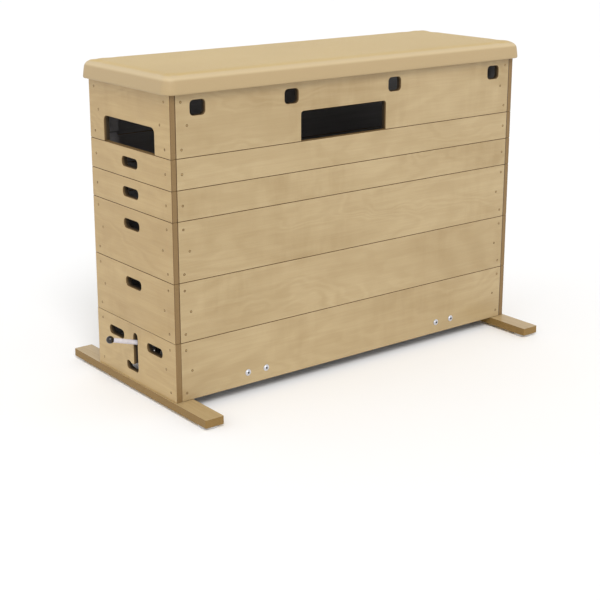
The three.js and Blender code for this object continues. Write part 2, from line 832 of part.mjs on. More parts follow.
// Castor fork with its bearing race, stem, nut and axle. The swivel axis is the Z axis and Z = 0 is the
// height of the shaft's axis in the working pose; the wheel trails to -X.
function castorFork() {
  const armBottom = shaftRadius - weldOverlap;
  const armTop = armBottom + armThickness;
  const raceTop = armBottom - seatGap;
  const raceBottom = raceTop - raceHeight;
  const nutBottom = armTop + seatGap;
  const head = turnedZ([
    [0, nutBottom + stemNutHeight + stemTail],
    [stemRadius, nutBottom + stemNutHeight + stemTail],
    [stemRadius, raceTop],
    [raceRadius, raceTop],
    [raceRadius, raceTop - raceHeight / 3],
    [raceNeckRadius, raceTop - raceHeight / 2],
    [raceRadius, raceBottom + raceHeight / 3],
    [raceRadius, raceBottom],
    [0, raceBottom],
  ]);
  const nut = rodZ(stemNutRadius, nutBottom, nutBottom + stemNutHeight, hexSides);
  const legInner = wheelWidth / 2 + forkWheelGap;
  const legOuter = legInner + forkThickness;
  const bridgeBottom = raceBottom - forkThickness;
  const frontX = forkTopLength / 2 - forkTopLean;
  const backX = -forkTopLength / 2 - forkTopLean;
  const bridge = slabZ(
    rectangle(backX, -legOuter, frontX, legOuter), bridgeBottom, raceBottom + weldOverlap,
  );
  const leg = new THREE.Shape();
  const taper = Math.atan2(backX + castorTrail, wheelDrop - forkShoulder) / 2;
  leg.moveTo(frontX, raceBottom);
  leg.lineTo(backX, raceBottom);
  leg.lineTo(backX - forkTopLean, raceBottom - forkShoulder);
  leg.absarc(-castorTrail, -wheelDrop, forkEyeRadius, 2 * quarter - taper, 3 * quarter, false);
  leg.absarc(-castorTrail, -wheelDrop, forkEyeRadius, 3 * quarter, 4 * quarter - forkEyeLean, false);
  leg.lineTo(frontX, raceBottom - forkShoulder);
  leg.closePath();
  const axle = rodY(axleRadius, -legOuter - weldOverlap, legOuter + weldOverlap, smallSides);
  const parts = [nut, bridge, axle.translate(-castorTrail, 0, -wheelDrop)];
  for (const side of [-1, 1]) {
    parts.push(
      side < 0 ? slabY(leg, -legOuter, -legInner) : slabY(leg, legInner, legOuter),
      rodY(axleHeadRadius, side * (legOuter - weldOverlap), side * (legOuter + axleHeadHeight), hexSides)
        .translate(-castorTrail, 0, -wheelDrop),
    );
  }
  return join(head, ...parts);
}
const forkEyeLean = THREE.MathUtils.degToRad(35);

// Wheel with a hub, a dished web and a rounded tread, its axle along Y
function castorWheel() {
  const bore = axleRadius + runningGap;
  const half = wheelWidth / 2;
  const web = half - wheelDish;
  const treadHalf = half - wheelShoulder;
  const outline = [
    [bore, half],
    [wheelHubRadius, half],
    [wheelHubRadius, web],
    [wheelRimRadius, web],
    [wheelRimRadius, half],
    [wheelRadius - wheelShoulder, half],
    [wheelRadius, treadHalf],
  ];
  const mirrored = outline.map(([radius, along]) => [radius, -along]).reverse();
  return turnedY([...outline, ...mirrored, outline[0]], wheelSides);
}

// One ring of points round the lid, drawn in between its corners
function lidRing(inset, z, drawIn, radius = Math.max(padCornerRadius - inset, padLeastCornerRadius)) {
  const halfLength = lidReach - inset;
  const halfWidth = boxWidth / 2 + padOverhang - inset;
  const corners = [
    [halfLength - radius, halfWidth - radius, 0, endRingSteps],
    [radius - halfLength, halfWidth - radius, quarter, sideRingSteps],
    [radius - halfLength, radius - halfWidth, 2 * quarter, endRingSteps],
    [halfLength - radius, radius - halfWidth, 3 * quarter, sideRingSteps],
  ];
  const points = [];
  corners.forEach(([x, y, startAngle], index) => {
    for (let step = 0; step <= cornerRingSteps; step += 1) {
      const angle = startAngle + (quarter * step) / cornerRingSteps;
      points.push(new THREE.Vector3(x + radius * Math.cos(angle), y + radius * Math.sin(angle), z));
    }
    const next = corners[(index + 1) % corners.length];
    const steps = next[3];
    const outward = new THREE.Vector3(Math.cos(next[2]), Math.sin(next[2]), 0);
    const from = points[points.length - 1];
    const to = new THREE.Vector3(next[0], next[1], z).addScaledVector(outward, radius);
    for (let step = 1; step < steps; step += 1) {
      const share = step / steps;
      const at = from.clone().lerp(to, share);
      points.push(at.addScaledVector(outward, -drawIn * 4 * share * (1 - share)));
    }
  });
  return points;
}

// Profile of the lid from its lower edge to near its centre, as insets and heights, offset inwards
function lidProfile(offset) {
  const top = padHeight - padCrown;
  const profile = [];
  for (let step = 0; step <= roundRingSteps / 2; step += 1) {
    const angle = (quarter * step) / (roundRingSteps / 2);
    const radius = padBottomRound - offset;
    profile.push([
      padBottomRound - radius * Math.sin(angle),
      padBottomRound - radius * Math.cos(angle),
    ]);
  }
  for (let step = 0; step <= roundRingSteps; step += 1) {
    const angle = (quarter * step) / roundRingSteps;
    const radius = padTopRound - offset;
    profile.push([
      padTopRound - radius * Math.cos(angle),
      top - padTopRound + radius * Math.sin(angle),
    ]);
  }
  const halfWidth = boxWidth / 2 + padOverhang;
  for (let step = 1; step <= crownRingSteps; step += 1) {
    const share = (crownSpanShare * step) / crownRingSteps;
    const rise = padCrown * (1 - (1 - share) * (1 - share));
    profile.push([padTopRound + (halfWidth - padTopRound) * share, top - offset + rise]);
  }
  return profile;
}

// Shell between an outer and an inner stack of rings that share their lower edge
function lidShell(outerRings, innerRings, outerTop, innerTop) {
  const rings = [...innerRings.reverse(), ...outerRings];
  const count = rings[0].length;
  const positions = [];
  const faces = [];
  rings.forEach((ring) => ring.forEach((point) => positions.push(point.x, point.y, point.z)));
  for (let ring = 0; ring + 1 < rings.length; ring += 1) {
    for (let corner = 0; corner < count; corner += 1) {
      const a = ring * count + corner;
      const b = ring * count + ((corner + 1) % count);
      faces.push(a, b, b + count, a, b + count, a + count);
    }
  }
  const innerPole = rings.length * count;
  const outerPole = innerPole + 1;
  positions.push(0, 0, innerTop, 0, 0, outerTop);
  const lastRing = (rings.length - 1) * count;
  for (let corner = 0; corner < count; corner += 1) {
    const next = (corner + 1) % count;
    faces.push(innerPole, next, corner, outerPole, lastRing + corner, lastRing + next);
  }
  const geometry = new THREE.BufferGeometry();
  geometry.setAttribute("position", new THREE.Float32BufferAttribute(positions, 3));
  geometry.setIndex(faces);
  return geometry;
}

// Leather cover: over the foam, round the board's edge and turned in under it
function lidCover() {
  const hemInset = padOverhang - hemClearance;
  const toRings = (offset) => [
    lidRing(hemInset, offset, 0, padLeastCornerRadius),
    ...lidProfile(offset).map(([inset, z]) => lidRing(inset, z, padDrawIn)),
  ];
  return lidShell(toRings(0), toRings(coverThickness), padHeight, padHeight - coverThickness);
}

// Foam core: lies on the board and fills the cover
function lidFoam() {
  const offset = coverThickness + seatGap;
  const bottom = hemLift + boardThickness + seatGap;
  const upper = lidProfile(offset).filter(([, z]) => z > bottom);
  const rings = [[offset, bottom], ...upper].map(([inset, z]) => lidRing(inset, z, padDrawIn));
  return lidShell(rings, [], padHeight - offset, bottom);
}
const hemLift = coverThickness + seatGap;

// Plywood board of the lid
function lidBoard() {
  const outline = new THREE.Shape();
  const length = boxLength + 2 * boardOverhang;
  const width = boxWidth + 2 * boardOverhang;
  const radius = padCornerRadius - padOverhang + boardOverhang + hemClearance;
  addRoundedRectangle(outline, 0, 0, length, width, radius);
  return slabZ(outline, hemLift, hemLift + boardThickness, boardChamfer, fineArcSteps);
}

const model = new THREE.Group();
const box = new THREE.Group();
box.position.x = boxShift;
model.add(box);

// Base: two skids on four feet carry two end panels, two side panels and four corner posts
const base = new THREE.Group();
base.position.z = baseBottom;
box.add(base);
for (const [end, endName] of endNames) {
  const outline = endOutline(baseHeight);
  cutHandHold(outline, -baseHandHoldOffset, tallHandHoldRise);
  cutHandHold(outline, baseHandHoldOffset, tallHandHoldRise);
  if (end < 0) {
    outline.holes.push(leverSlot());
  }
  piece(base, `base_${endName}`, endPanel(outline, end), plywood());
}
for (const [side, sideName] of sideNames) {
  const outline = sideOutline(baseHeight);
  for (const end of [-1, 1]) {
    for (const bolt of [-1, 1]) {
      const boltX = end * shaftX + (bolt * boltSpacing) / 2;
      outline.holes.push(
        addCircle(new THREE.Path(), boltX, shaftRise, boltRadius + boltHoleClearance),
      );
    }
  }
  piece(base, `base_${sideName}`, sidePanel(outline, side), plywood());
}
for (const [end, endName] of endNames) {
  for (const [side, sideName] of sideNames) {
    const post = cornerPost(end, side, 0, baseHeight - seatGap, -seatGap, true);
    piece(base, `base_post_${endName}_${sideName}`, post, plywood());
  }
}

const skidCentreX = boxLength / 2 + skidProud - skidWidth / 2;
const footCentreY = skidLength / 2 - footRadius - footEndMargin;
for (const [end, endName] of endNames) {
  const outline = rectangle(-skidWidth / 2, -skidLength / 2, skidWidth / 2, skidLength / 2);
  const skid = slabZ(outline, 0, skidHeight - seatGap, skidChamfer);
  piece(box, `skid_${endName}`, skid, beech()).position.set(end * skidCentreX, 0, skidBottom);
  for (const [side, sideName] of sideNames) {
    const mesh = piece(box, `foot_${endName}_${sideName}`, foot(), greyRubber());
    mesh.position.set(end * skidCentreX, side * footCentreY, 0);
  }
}

// Castor gear: bearing plates, two rocking shafts joined by a link rod, and four castors
for (const [end, endName] of endNames) {
  for (const [side, sideName] of sideNames) {
    const plate = piece(box, `bearing_${endName}_${sideName}`, bearingPlate(side), zincSteel());
    plate.position.set(end * shaftX, 0, shaftHeight);
    if (end > 0) {
      plate.geometry.scale(-1, 1, 1);
      plate.geometry.index.array.reverse();
    }
  }
}

const crankLean = leverAngle / 2;
const gearTable = [
  { end: -1, endName: "lever_end", crankSide: 1, crankTurn: crankLean, hasLeverHub: true },
  { end: 1, endName: "plain_end", crankSide: -1, crankTurn: 2 * quarter + crankLean, hasLeverHub: false },
];
for (const gear of gearTable) {
  const turned = new THREE.Group();
  turned.position.set(gear.end * shaftX, 0, shaftHeight);
  turned.rotation.z = gear.end < 0 ? 0 : 2 * quarter;
  const rocker = new THREE.Group();
  rocker.rotation.y = leverAngle;
  box.add(turned);
  turned.add(rocker);
  piece(rocker, `shaft_${gear.endName}`, shaftWeldment(gear), zincSteel());
  if (gear.hasLeverHub) {
    piece(rocker, "hand_lever", handLever(), zincSteel());
    piece(rocker, "lever_pin", leverPin(), springSteel());
    piece(rocker, "lever_knob", leverKnob(), blackPlastic());
  }
  for (const [side, sideName] of sideNames) {
    const localSide = gear.end < 0 ? side : -side;
    const castor = new THREE.Group();
    castor.position.set(-armLength, localSide * armSpread, 0);
    rocker.add(castor);
    piece(castor, `castor_fork_${gear.endName}_${sideName}`, castorFork(), zincSteel());
    const wheel = piece(castor, `castor_wheel_${gear.endName}_${sideName}`, castorWheel(), tyreRubber());
    wheel.position.set(-castorTrail, 0, -wheelDrop);
  }
}

const crankThrow = crankRadius * Math.sin(crankLean);
const crankRise = crankRadius * Math.cos(crankLean);
const rodRun = 2 * shaftX;
const rodFall = 2 * crankRise;
const rodCentreY = crankOffset + crankThickness + eyeSideGap + rodEyeThickness / 2;
const rod = piece(box, "link_rod", linkRod(Math.hypot(rodRun, rodFall)), zincSteel());
rod.position.set(crankThrow - shaftX, rodCentreY, shaftHeight + crankRise);
rod.rotation.y = Math.atan2(rodFall, rodRun);

for (const [side, sideName] of sideNames) {
  const path = springPath(side);
  const spring = wireAlong(path, springWireRadius, springSides);
  piece(box, `return_spring_${sideName}`, spring, springSteel()).position.set(-shaftX, 0, shaftHeight);
  const gap = leastCoilGap(path, springWireRadius);
  console.log(`return_spring_${sideName}: least gap between turns ${gap.toFixed(2)} mm`);
}

// The four loose sections
sectionTable.forEach((section, index) => {
  addSection(box, section.name, section.height, sectionBottoms[index]);
});

// Top section: notched and holed panels under the padded lid, with the long notch in front only, where
// the corner posts are pieces of their own
const top = new THREE.Group();
top.position.z = topBottom;
box.add(top);
for (const [end, endName] of endNames) {
  const outline = notchedRectangle(
    boxWidth / 2, topHeight - seatGap, 0, endNotchLength, endNotchHeight, endNotchRadius,
  );
  piece(top, `top_${endName}`, endPanel(outline, end), plywood());
}
const poleHoleCentres = [
  outerPoleHoleFromEnd - boxLength / 2,
  sideNotchOffset - innerPoleHoleSpread,
  sideNotchOffset + innerPoleHoleSpread,
  boxLength / 2 - outerPoleHoleFromEnd,
];
const topSideHalf = innerHalfLength - seatGap;
const topSideOutlines = {
  front: () => notchedRectangle(
    topSideHalf, topHeight - seatGap, sideNotchOffset, sideNotchLength, sideNotchHeight, sideNotchRadius,
  ),
  rear: () => rectangle(-topSideHalf, 0, topSideHalf, topHeight - seatGap),
};
for (const [side, sideName] of sideNames) {
  const outline = topSideOutlines[sideName]();
  for (const centre of poleHoleCentres) {
    const hole = new THREE.Path();
    outline.holes.push(
      addRoundedRectangle(hole, centre, poleHoleRise, poleHoleLength, poleHoleHeight, poleHoleRadius),
    );
  }
  const panel = sidePanel(outline, side);
  const wallGap = side < 0 ? -seatGap : weldOverlap;
  const posts = endNames.map(([end]) =>
    cornerPost(end, side, spigotHeight + spigotHeadroom, topHeight - seatGap, wallGap, false),
  );
  if (side < 0) {
    piece(top, `top_${sideName}`, panel, plywood());
    posts.forEach((post, index) => {
      piece(top, `top_post_${endNames[index][1]}_${sideName}`, post, plywood());
    });
  } else {
    piece(top, `top_${sideName}`, join(panel, ...posts), plywood());
  }
}

// The lid's board stands on the panels, and the cover's hem hangs just outside them
const lid = new THREE.Group();
lid.position.z = lidBottom - hemLift;
box.add(lid);
piece(lid, "lid_board", lidBoard(), plywood());
piece(lid, "lid_foam", lidFoam(), foam());
piece(lid, "lid_cover", lidCover(), leather());

export default model;
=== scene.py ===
"""Looks of a sectional vaulting box on a lever-operated castor base.

Everything is in metres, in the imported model's own frame: +X runs along the box away from the lever
end, +Y across it to the rear long side, +Z up from the floor.
"""

from __future__ import annotations

import logging
import math
import random
from collections.abc import Callable, Iterable, Sequence
from dataclasses import dataclass, field
from enum import Enum
from functools import cache

import bmesh
import bpy
from bmesh.types import BMEdge, BMesh, BMFace, BMVert
from mathutils import Matrix, Vector


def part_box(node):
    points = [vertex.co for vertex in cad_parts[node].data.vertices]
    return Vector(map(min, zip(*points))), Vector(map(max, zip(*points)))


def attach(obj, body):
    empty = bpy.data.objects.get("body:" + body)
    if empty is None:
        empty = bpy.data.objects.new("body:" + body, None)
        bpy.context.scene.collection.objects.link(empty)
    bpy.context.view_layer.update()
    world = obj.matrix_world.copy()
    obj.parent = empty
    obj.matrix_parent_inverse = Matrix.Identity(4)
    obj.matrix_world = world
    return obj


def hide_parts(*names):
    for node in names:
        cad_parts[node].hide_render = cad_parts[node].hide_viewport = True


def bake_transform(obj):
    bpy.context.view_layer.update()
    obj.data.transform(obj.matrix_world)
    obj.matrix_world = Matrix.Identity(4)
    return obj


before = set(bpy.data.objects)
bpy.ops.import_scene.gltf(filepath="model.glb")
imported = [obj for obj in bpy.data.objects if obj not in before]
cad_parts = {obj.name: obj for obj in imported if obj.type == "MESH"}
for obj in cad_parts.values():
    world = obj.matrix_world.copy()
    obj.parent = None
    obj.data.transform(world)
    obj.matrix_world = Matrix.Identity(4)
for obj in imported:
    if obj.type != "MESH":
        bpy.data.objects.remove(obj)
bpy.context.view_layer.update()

log = logging.getLogger("vaulting_box")

SEED = 20
QUARTER = math.pi / 2
TURN = 2 * math.pi
MERGE = 1e-6

Colour = tuple[float, float, float, float]
Point = tuple[float, float]
Triple = tuple[float, float, float]


def srgb(*parts: int) -> Colour:
    """Turns an 8-bit display colour into the linear colour that a shader takes.

    Args:
        *parts: Red, green and blue, 0 to 255.

    Returns:
        Linear red, green and blue with full opacity.
    """
    shares = [part / 255 for part in parts]
    linear = [s / 12.92 if s <= 0.04045 else ((s + 0.055) / 1.055) ** 2.4 for s in shares]
    return (*linear, 1.0)


class Slot(Enum):
    """Material slots of the record."""

    PLYWOOD = "plywood"
    BEECH = "beech"
    LEATHER = "leather"
    STEEL = "steel"
    SPRING = "spring"
    PLASTIC = "plastic"
    FOOT = "foot_rubber"
    TYRE = "tyre"


class Facing(Enum):
    """Which way a board faces, as the frame's axes for its right, its up and its depth inwards."""

    FRONT = ((1, 0, 0), (0, 0, 1), (0, 1, 0))
    REAR = ((1, 0, 0), (0, 0, 1), (0, -1, 0))
    LEVER_END = ((0, 1, 0), (0, 0, 1), (1, 0, 0))
    PLAIN_END = ((0, 1, 0), (0, 0, 1), (-1, 0, 0))
    LEVEL = ((1, 0, 0), (0, 1, 0), (0, 0, 1))

    def at(self, origin: Vector) -> Matrix:
        """Places a board drawn in its own plane, with the drawing's origin at a place."""
        return Matrix.Translation(origin) @ Matrix(self.value).transposed().to_4x4()


class Station(Enum):
    """A place on one side of the box's middle, whose value is the sign of its coordinate."""

    @property
    def label(self) -> str:
        """The name that the CAD nodes use."""
        return self.name.lower()


class End(Station):
    """The ends of the box, along X."""

    LEVER_END = -1
    PLAIN_END = 1


class Side(Station):
    """The long sides of the box, along Y."""

    FRONT = -1
    REAR = 1


# Shader trees


@dataclass(frozen=True)
class Wire:
    """A node's output, with which sums and products are written as Math nodes."""

    graph: Graph
    socket: bpy.types.NodeSocket

    def __add__(self, other: Wire | float) -> Wire:
        """Adds."""
        return self.graph.math("ADD", self, other)

    def __sub__(self, other: Wire | float) -> Wire:
        """Subtracts."""
        return self.graph.math("SUBTRACT", self, other)

    def __rsub__(self, other: float) -> Wire:
        """Subtracts the wire from a number."""
        return self.graph.math("SUBTRACT", other, self)

    def __mul__(self, other: Wire | float) -> Wire:
        """Multiplies."""
        return self.graph.math("MULTIPLY", self, other)


class Graph:
    """Adds nodes to one shader tree and links them as they are made."""

    def __init__(self, tree: bpy.types.NodeTree) -> None:
        """Takes the tree that the nodes go into."""
        self.tree = tree

    def node(self, kind: str, inputs: dict | None = None, **settings: object) -> bpy.types.Node:
        """Adds a node.

        Args:
            kind: The node's type name.
            inputs: Input name or number to its value, or to the wire that feeds it.
            **settings: Properties of the node.

        Returns:
            The new node.
        """
        node = self.tree.nodes.new(kind)
        for name, value in settings.items():
            setattr(node, name, value)
        self.feed(node, inputs or {})
        return node

    def feed(self, node: bpy.types.Node, inputs: dict) -> None:
        """Links wires to a node's inputs, and sets the plain values of others.

        Args:
            node: The node.
            inputs: Input name or number to its value or wire.
        """
        for key, value in inputs.items():
            if isinstance(value, Wire):
                self.tree.links.new(value.socket, node.inputs[key])
            else:
                node.inputs[key].default_value = value

    def wire(
        self, kind: str, inputs: dict | None = None, output: int | str = 0, **settings: object
    ) -> Wire:
        """Adds a node and returns one of its outputs."""
        return Wire(self, self.node(f"ShaderNode{kind}", inputs, **settings).outputs[output])

    def math(self, operation: str, first: object, second: object = 0.5) -> Wire:
        """Adds a Math node."""
        return self.wire("Math", {0: first, 1: second}, operation=operation)

    def vector_math(self, operation: str, first: object, second: object) -> Wire:
        """Adds a Vector Math node."""
        return self.wire("VectorMath", {0: first, 1: second}, operation=operation)

    def mix(self, share: object, first: object, second: object) -> Wire:
        """Mixes two colours."""
        return self.wire("Mix", {0: share, 6: first, 7: second}, 2, data_type="RGBA")

    def ramp(self, value: Wire, low: float, high: float, to_low: float = 0.0, to_high: float = 1.0) -> Wire:
        """Maps a range smoothly to another one."""
        inputs = {0: value, 1: low, 2: high, 3: to_low, 4: to_high}
        return self.wire("MapRange", inputs, interpolation_type="SMOOTHSTEP")

    def noise(self, vector: Wire, scale: float | Triple, detail: float, rough: float) -> Wire:
        """Adds noise.

        Args:
            vector: Where it is looked up.
            scale: Its scale, or one for each axis.
            detail: Its detail.
            rough: Its roughness.

        Returns:
            Its value.
        """
        if isinstance(scale, tuple):
            vector, scale = self.vector_math("MULTIPLY", vector, scale), 1.0
        inputs = {"Vector": vector, "Scale": scale, "Detail": detail, "Roughness": rough}
        return self.wire("TexNoise", inputs)

    def mask(
        self, vector: Wire, scale: float | Triple, detail: float, rough: float,
        low: float = 0.3, high: float = 0.7,
    ) -> Wire:
        """Adds noise, and stretches a range of it to 0 to 1."""
        return self.ramp(self.noise(vector, scale, detail, rough), low, high)

    def attribute(self, name: str, output: str = "Fac") -> Wire:
        """Reads a layer of the mesh."""
        return self.wire("Attribute", output=output, attribute_name=name)

    def group(self, effect: Effect, **inputs: object) -> dict[str, Wire]:
        """Places a shared group, which is built the first time that it is asked for.

        Args:
            effect: Fills the group, and gives it its name.
            **inputs: Input name to its value or wire.

        Returns:
            Output name to its wire.
        """
        tree = bpy.data.node_groups.get(effect.__name__) or new_group(effect, inputs)
        node = self.node("ShaderNodeGroup", node_tree=tree)
        self.feed(node, inputs)
        return {socket.name: Wire(self, socket) for socket in node.outputs}


Effect = Callable[..., dict[str, Wire]]


def new_group(effect: Effect, labels: Iterable[str]) -> bpy.types.NodeTree:
    """Makes a shader node group.

    Args:
        effect: Fills it from its inputs' wires, and returns the wire of each output.
        labels: Names of its inputs, which are numbers apart from Vector.

    Returns:
        The node group.
    """
    tree = bpy.data.node_groups.new(effect.__name__, "ShaderNodeTree")
    for label in labels:
        kind = "NodeSocketVector" if label == "Vector" else "NodeSocketFloat"
        tree.interface.new_socket(label, in_out="INPUT", socket_type=kind)
    graph = Graph(tree)
    entry = graph.node("NodeGroupInput")
    results = effect(graph, **{label.lower(): Wire(graph, entry.outputs[label]) for label in labels})
    for label in results:
        tree.interface.new_socket(label, in_out="OUTPUT", socket_type="NodeSocketFloat")
    graph.node("NodeGroupOutput", results)
    return tree


def veneer_grain(graph: Graph, vector: Wire) -> dict[str, Wire]:
    """Birch veneer with its grain along X: fine streaks, broad figure, cross shimmer and flecks.

    Args:
        graph: The group's graph.
        vector: Where it is looked up.

    Returns:
        The masks.
    """
    bend = graph.noise(vector, (2.08, 2.08, 5.12), 3.0, 0.55)
    lifted = graph.vector_math("ADD", graph.vector_math("MULTIPLY", vector, (0.8, 4.2, 4.2)), bend)
    rings = graph.math("SINE", graph.noise(lifted, 1.0, 1.0, 0.4) * 85.0)
    fine = graph.noise(vector, (9.0, 620.0, 620.0), 3.0, 0.65)
    middle = graph.noise(vector, (4.0, 130.0, 130.0), 3.0, 0.6)
    curl = graph.mask(vector, (17.0, 3.4, 3.4), 3.0, 0.6, 0.35, 0.65)
    return {
        "Streaks": graph.ramp(fine * 0.5 + middle * 0.5, 0.3, 0.7),
        "Figure": graph.ramp(rings, -1.0, 1.0),
        "Cloud": graph.mask(vector, (1.6, 4.0, 4.0), 3.0, 0.6),
        "Curl": curl * graph.mask(vector, 2.4, 2.0, 0.5, 0.42, 0.66),
        "Flecks": graph.mask(vector, (55.0, 900.0, 900.0), 1.0, 0.5, 0.66, 0.78),
    }


def ply_layers(graph: Graph, vector: Wire, depth: Wire, layers: Wire) -> dict[str, Wire]:
    """Cut edge of plywood: light and dark layers, with the end grain's fibres.

    Args:
        graph: The group's graph.
        vector: Where it is looked up.
        depth: Share of the board's thickness.
        layers: Number of layers.

    Returns:
        The masks.
    """
    shifted = depth * layers + graph.noise(vector, 30.0, 2.0, 0.5) * 0.18
    wave = graph.math("SINE", shifted * math.pi)
    return {
        "Layer": graph.ramp(wave, -0.35, 0.35),
        "Glue": graph.ramp(graph.math("ABSOLUTE", wave), 0.0, 0.22, 1.0, 0.0),
        "Fibres": graph.mask(vector, 420.0, 3.0, 0.7, 0.3, 0.75),
    }


def handling_marks(graph: Graph, vector: Wire) -> dict[str, Wire]:
    """Smudges and scuffs of years of use.

    Args:
        graph: The group's graph.
        vector: Where it is looked up.

    Returns:
        The masks.
    """
    return {
        "Smudge": graph.mask(vector, 7.0, 4.0, 0.6, 0.42, 0.72),
        "Scuff": graph.mask(vector, (160.0, 24.0, 24.0), 4.0, 0.7, 0.62, 0.8),
    }


def leather_grain(graph: Graph, vector: Wire) -> dict[str, Wire]:
    """Smooth leather: creased cells, pores and a slow change of tone.

    Args:
        graph: The group's graph.
        vector: Where it is looked up.

    Returns:
        The masks.
    """
    warp = graph.vector_math("MULTIPLY", graph.noise(vector, 90.0, 2.0, 0.5), (0.004, 0.004, 0.004))
    inputs = {"Vector": graph.vector_math("ADD", vector, warp), "Scale": 420.0, "Randomness": 1.0}
    cells = graph.wire("TexVoronoi", inputs, "Distance", feature="DISTANCE_TO_EDGE")
    return {
        "Crease": graph.ramp(cells, 0.0, 0.16),
        "Pores": graph.mask(vector, 1500.0, 2.0, 0.5, 0.35, 0.65),
        "Tone": graph.mask(vector, (1.4, 2.6, 2.6), 4.0, 0.55),
    }


def metal_skin(graph: Graph, vector: Wire) -> dict[str, Wire]:
    """Zinc-plated steel: cloudy plating, drawing lines along X and a few dull spots.

    Args:
        graph: The group's graph.
        vector: Where it is looked up.

    Returns:
        The masks.
    """
    return {
        "Cloud": graph.mask(vector, 60.0, 4.0, 0.6),
        "Lines": graph.mask(vector, (40.0, 1600.0, 1600.0), 2.0, 0.5),
        "Spots": graph.mask(vector, 260.0, 2.0, 0.5, 0.66, 0.76),
    }


def moulded_skin(graph: Graph, vector: Wire) -> dict[str, Wire]:
    """Moulded rubber or plastic: fine stipple, a slow change of tone and dust.

    Args:
        graph: The group's graph.
        vector: Where it is looked up.

    Returns:
        The masks.
    """
    return {
        "Stipple": graph.mask(vector, 1400.0, 2.0, 0.6),
        "Tone": graph.mask(vector, 28.0, 3.0, 0.6),
        "Dust": graph.mask(vector, 110.0, 5.0, 0.7, 0.5, 0.8),
    }


# Finishes


class Surface(Graph):
    """A new material's graph, with its Principled shader and its object coordinates."""

    def __init__(self, name: str) -> None:
        """Starts the material.

        Args:
            name: The material's name.
        """
        self.material = bpy.data.materials.new(name)
        self.material.use_nodes = True
        super().__init__(self.material.node_tree)
        self.tree.nodes.clear()
        self.shader = self.node("ShaderNodeBsdfPrincipled")
        self.node("ShaderNodeOutputMaterial", {"Surface": Wire(self, self.shader.outputs[0])})
        self.place = self.wire("TexCoord", output="Object")

    def coated(self, height: Wire, relief: float, **inputs: object) -> bpy.types.Material:
        """Feeds the shader.

        Args:
            height: Height of the relief, as a share.
            relief: Depth of the relief in metres.
            **inputs: Value or wire of each input, with _ for the spaces of its name.

        Returns:
            The material.
        """
        inputs["Normal"] = self.wire("Bump", {"Strength": 1.0, "Distance": relief, "Height": height})
        self.feed(self.shader, {name.replace("_", " "): value for name, value in inputs.items()})
        return self.material


@dataclass(frozen=True)
class Finish:
    """What every finish has: its name, and the record's slot that it is listed under."""

    name: str
    slot: Slot

    @cache
    def material(self) -> bpy.types.Material:
        """Gives the material, built the first time that it is asked for."""
        return self.dress(Surface(self.name))

    def dress(self, surface: Surface) -> bpy.types.Material:
        """Builds the shader tree, which each kind of finish does in its own way."""
        raise NotImplementedError


@dataclass(frozen=True)
class PlywoodFinish(Finish):
    """Lacquered birch plywood: veneered faces and layered edges, with painted shade on the inside faces, in
    the jambs and along the rounded edges.
    """

    light: Colour
    dark: Colour
    edge_light: Colour = srgb(142, 115, 74)
    edge_dark: Colour = srgb(112, 86, 48)
    turned: bool = False
    # Painted shade: by default the inside faces take this dark grey, which stands for the shadow inside the
    # closed box.
    inside_light: Colour = srgb(122, 119, 119)
    inside_dark: Colour = srgb(106, 103, 103)
    streak: Colour = srgb(140, 110, 70)
    # Painted shade: the darker colour of the middle of each rounded edge, which draws the shadowed lines at
    # the joints between panels.
    arris: Colour = srgb(92, 68, 38)
    # Painted shade: the near-black that the jambs of holes darken to towards the inside.
    jamb: Colour = srgb(44, 36, 28)
    layers: float = 13.0
    relief: float = 0.00012

    def dress(self, surface: Surface) -> bpy.types.Material:
        """Builds the shader tree.

        Args:
            surface: The new material's graph.

        Returns:
            The material.
        """
        offset = surface.attribute("grain_offset", "Vector")
        moved = surface.vector_math("ADD", surface.place, offset)
        turn = QUARTER if self.turned else 0.0
        along = surface.wire("Mapping", {"Vector": moved, "Rotation": (0, 0, turn)})
        grain = surface.group(veneer_grain, Vector=along)
        marks = surface.group(handling_marks, Vector=along)
        streaks = grain["Streaks"]
        tone = grain["Cloud"] * 0.5 + grain["Figure"] * 0.2 + grain["Curl"] * 0.3
        face = surface.mix(tone, self.light, self.dark)
        for share in (streaks * 0.2, grain["Flecks"] * 0.16, marks["Smudge"] * 0.07):
            face = surface.mix(share, face, self.streak)
        # Painted shade: the inside faces are dark grey in place of the veneer, for the shadow inside the
        # box.
        painted_inside_shade = surface.mix(streaks, self.inside_light, self.inside_dark)

        depth = surface.attribute("ply_depth")
        layers = surface.group(ply_layers, Vector=moved, Depth=depth, Layers=self.layers)
        edge = surface.mix(layers["Layer"], self.edge_light, self.edge_dark)
        for share in (layers["Glue"] * 0.5, layers["Fibres"] * 0.25):
            edge = surface.mix(share, edge, self.edge_dark)
        # Painted shade: jamb faces darken with depth towards the inside, for the shadow within the holes.
        shaded = surface.ramp(depth, 0.05, 0.6, 0.25, 0.92) * surface.attribute("ply_jamb")
        edge = surface.mix(shaded, edge, self.jamb)
        is_edge = surface.attribute("ply_edge")
        # Painted shade: the middle of each rounded edge darkens, for the shadow in the joints between
        # panels.
        worn = surface.ramp(is_edge, 0.1, 0.25) * surface.ramp(is_edge, 0.8, 0.95, 1.0, 0.0)
        edge = surface.mix(worn * 0.7, edge, self.arris)
        edge_share = surface.ramp(is_edge, 0.04, 0.2)
        colour = surface.mix(surface.attribute("ply_inside"), face, painted_inside_shade)
        return surface.coated(
            streaks * 0.5 + layers["Fibres"] * edge_share - grain["Flecks"],
            self.relief,
            Base_Color=surface.mix(edge_share, colour, edge),
            Roughness=streaks * 0.1 + 0.36 + edge_share * 0.2 + marks["Scuff"] * 0.15,
            Coat_Weight=0.18,
            Coat_Roughness=0.25,
            Specular_IOR_Level=0.35,
        )


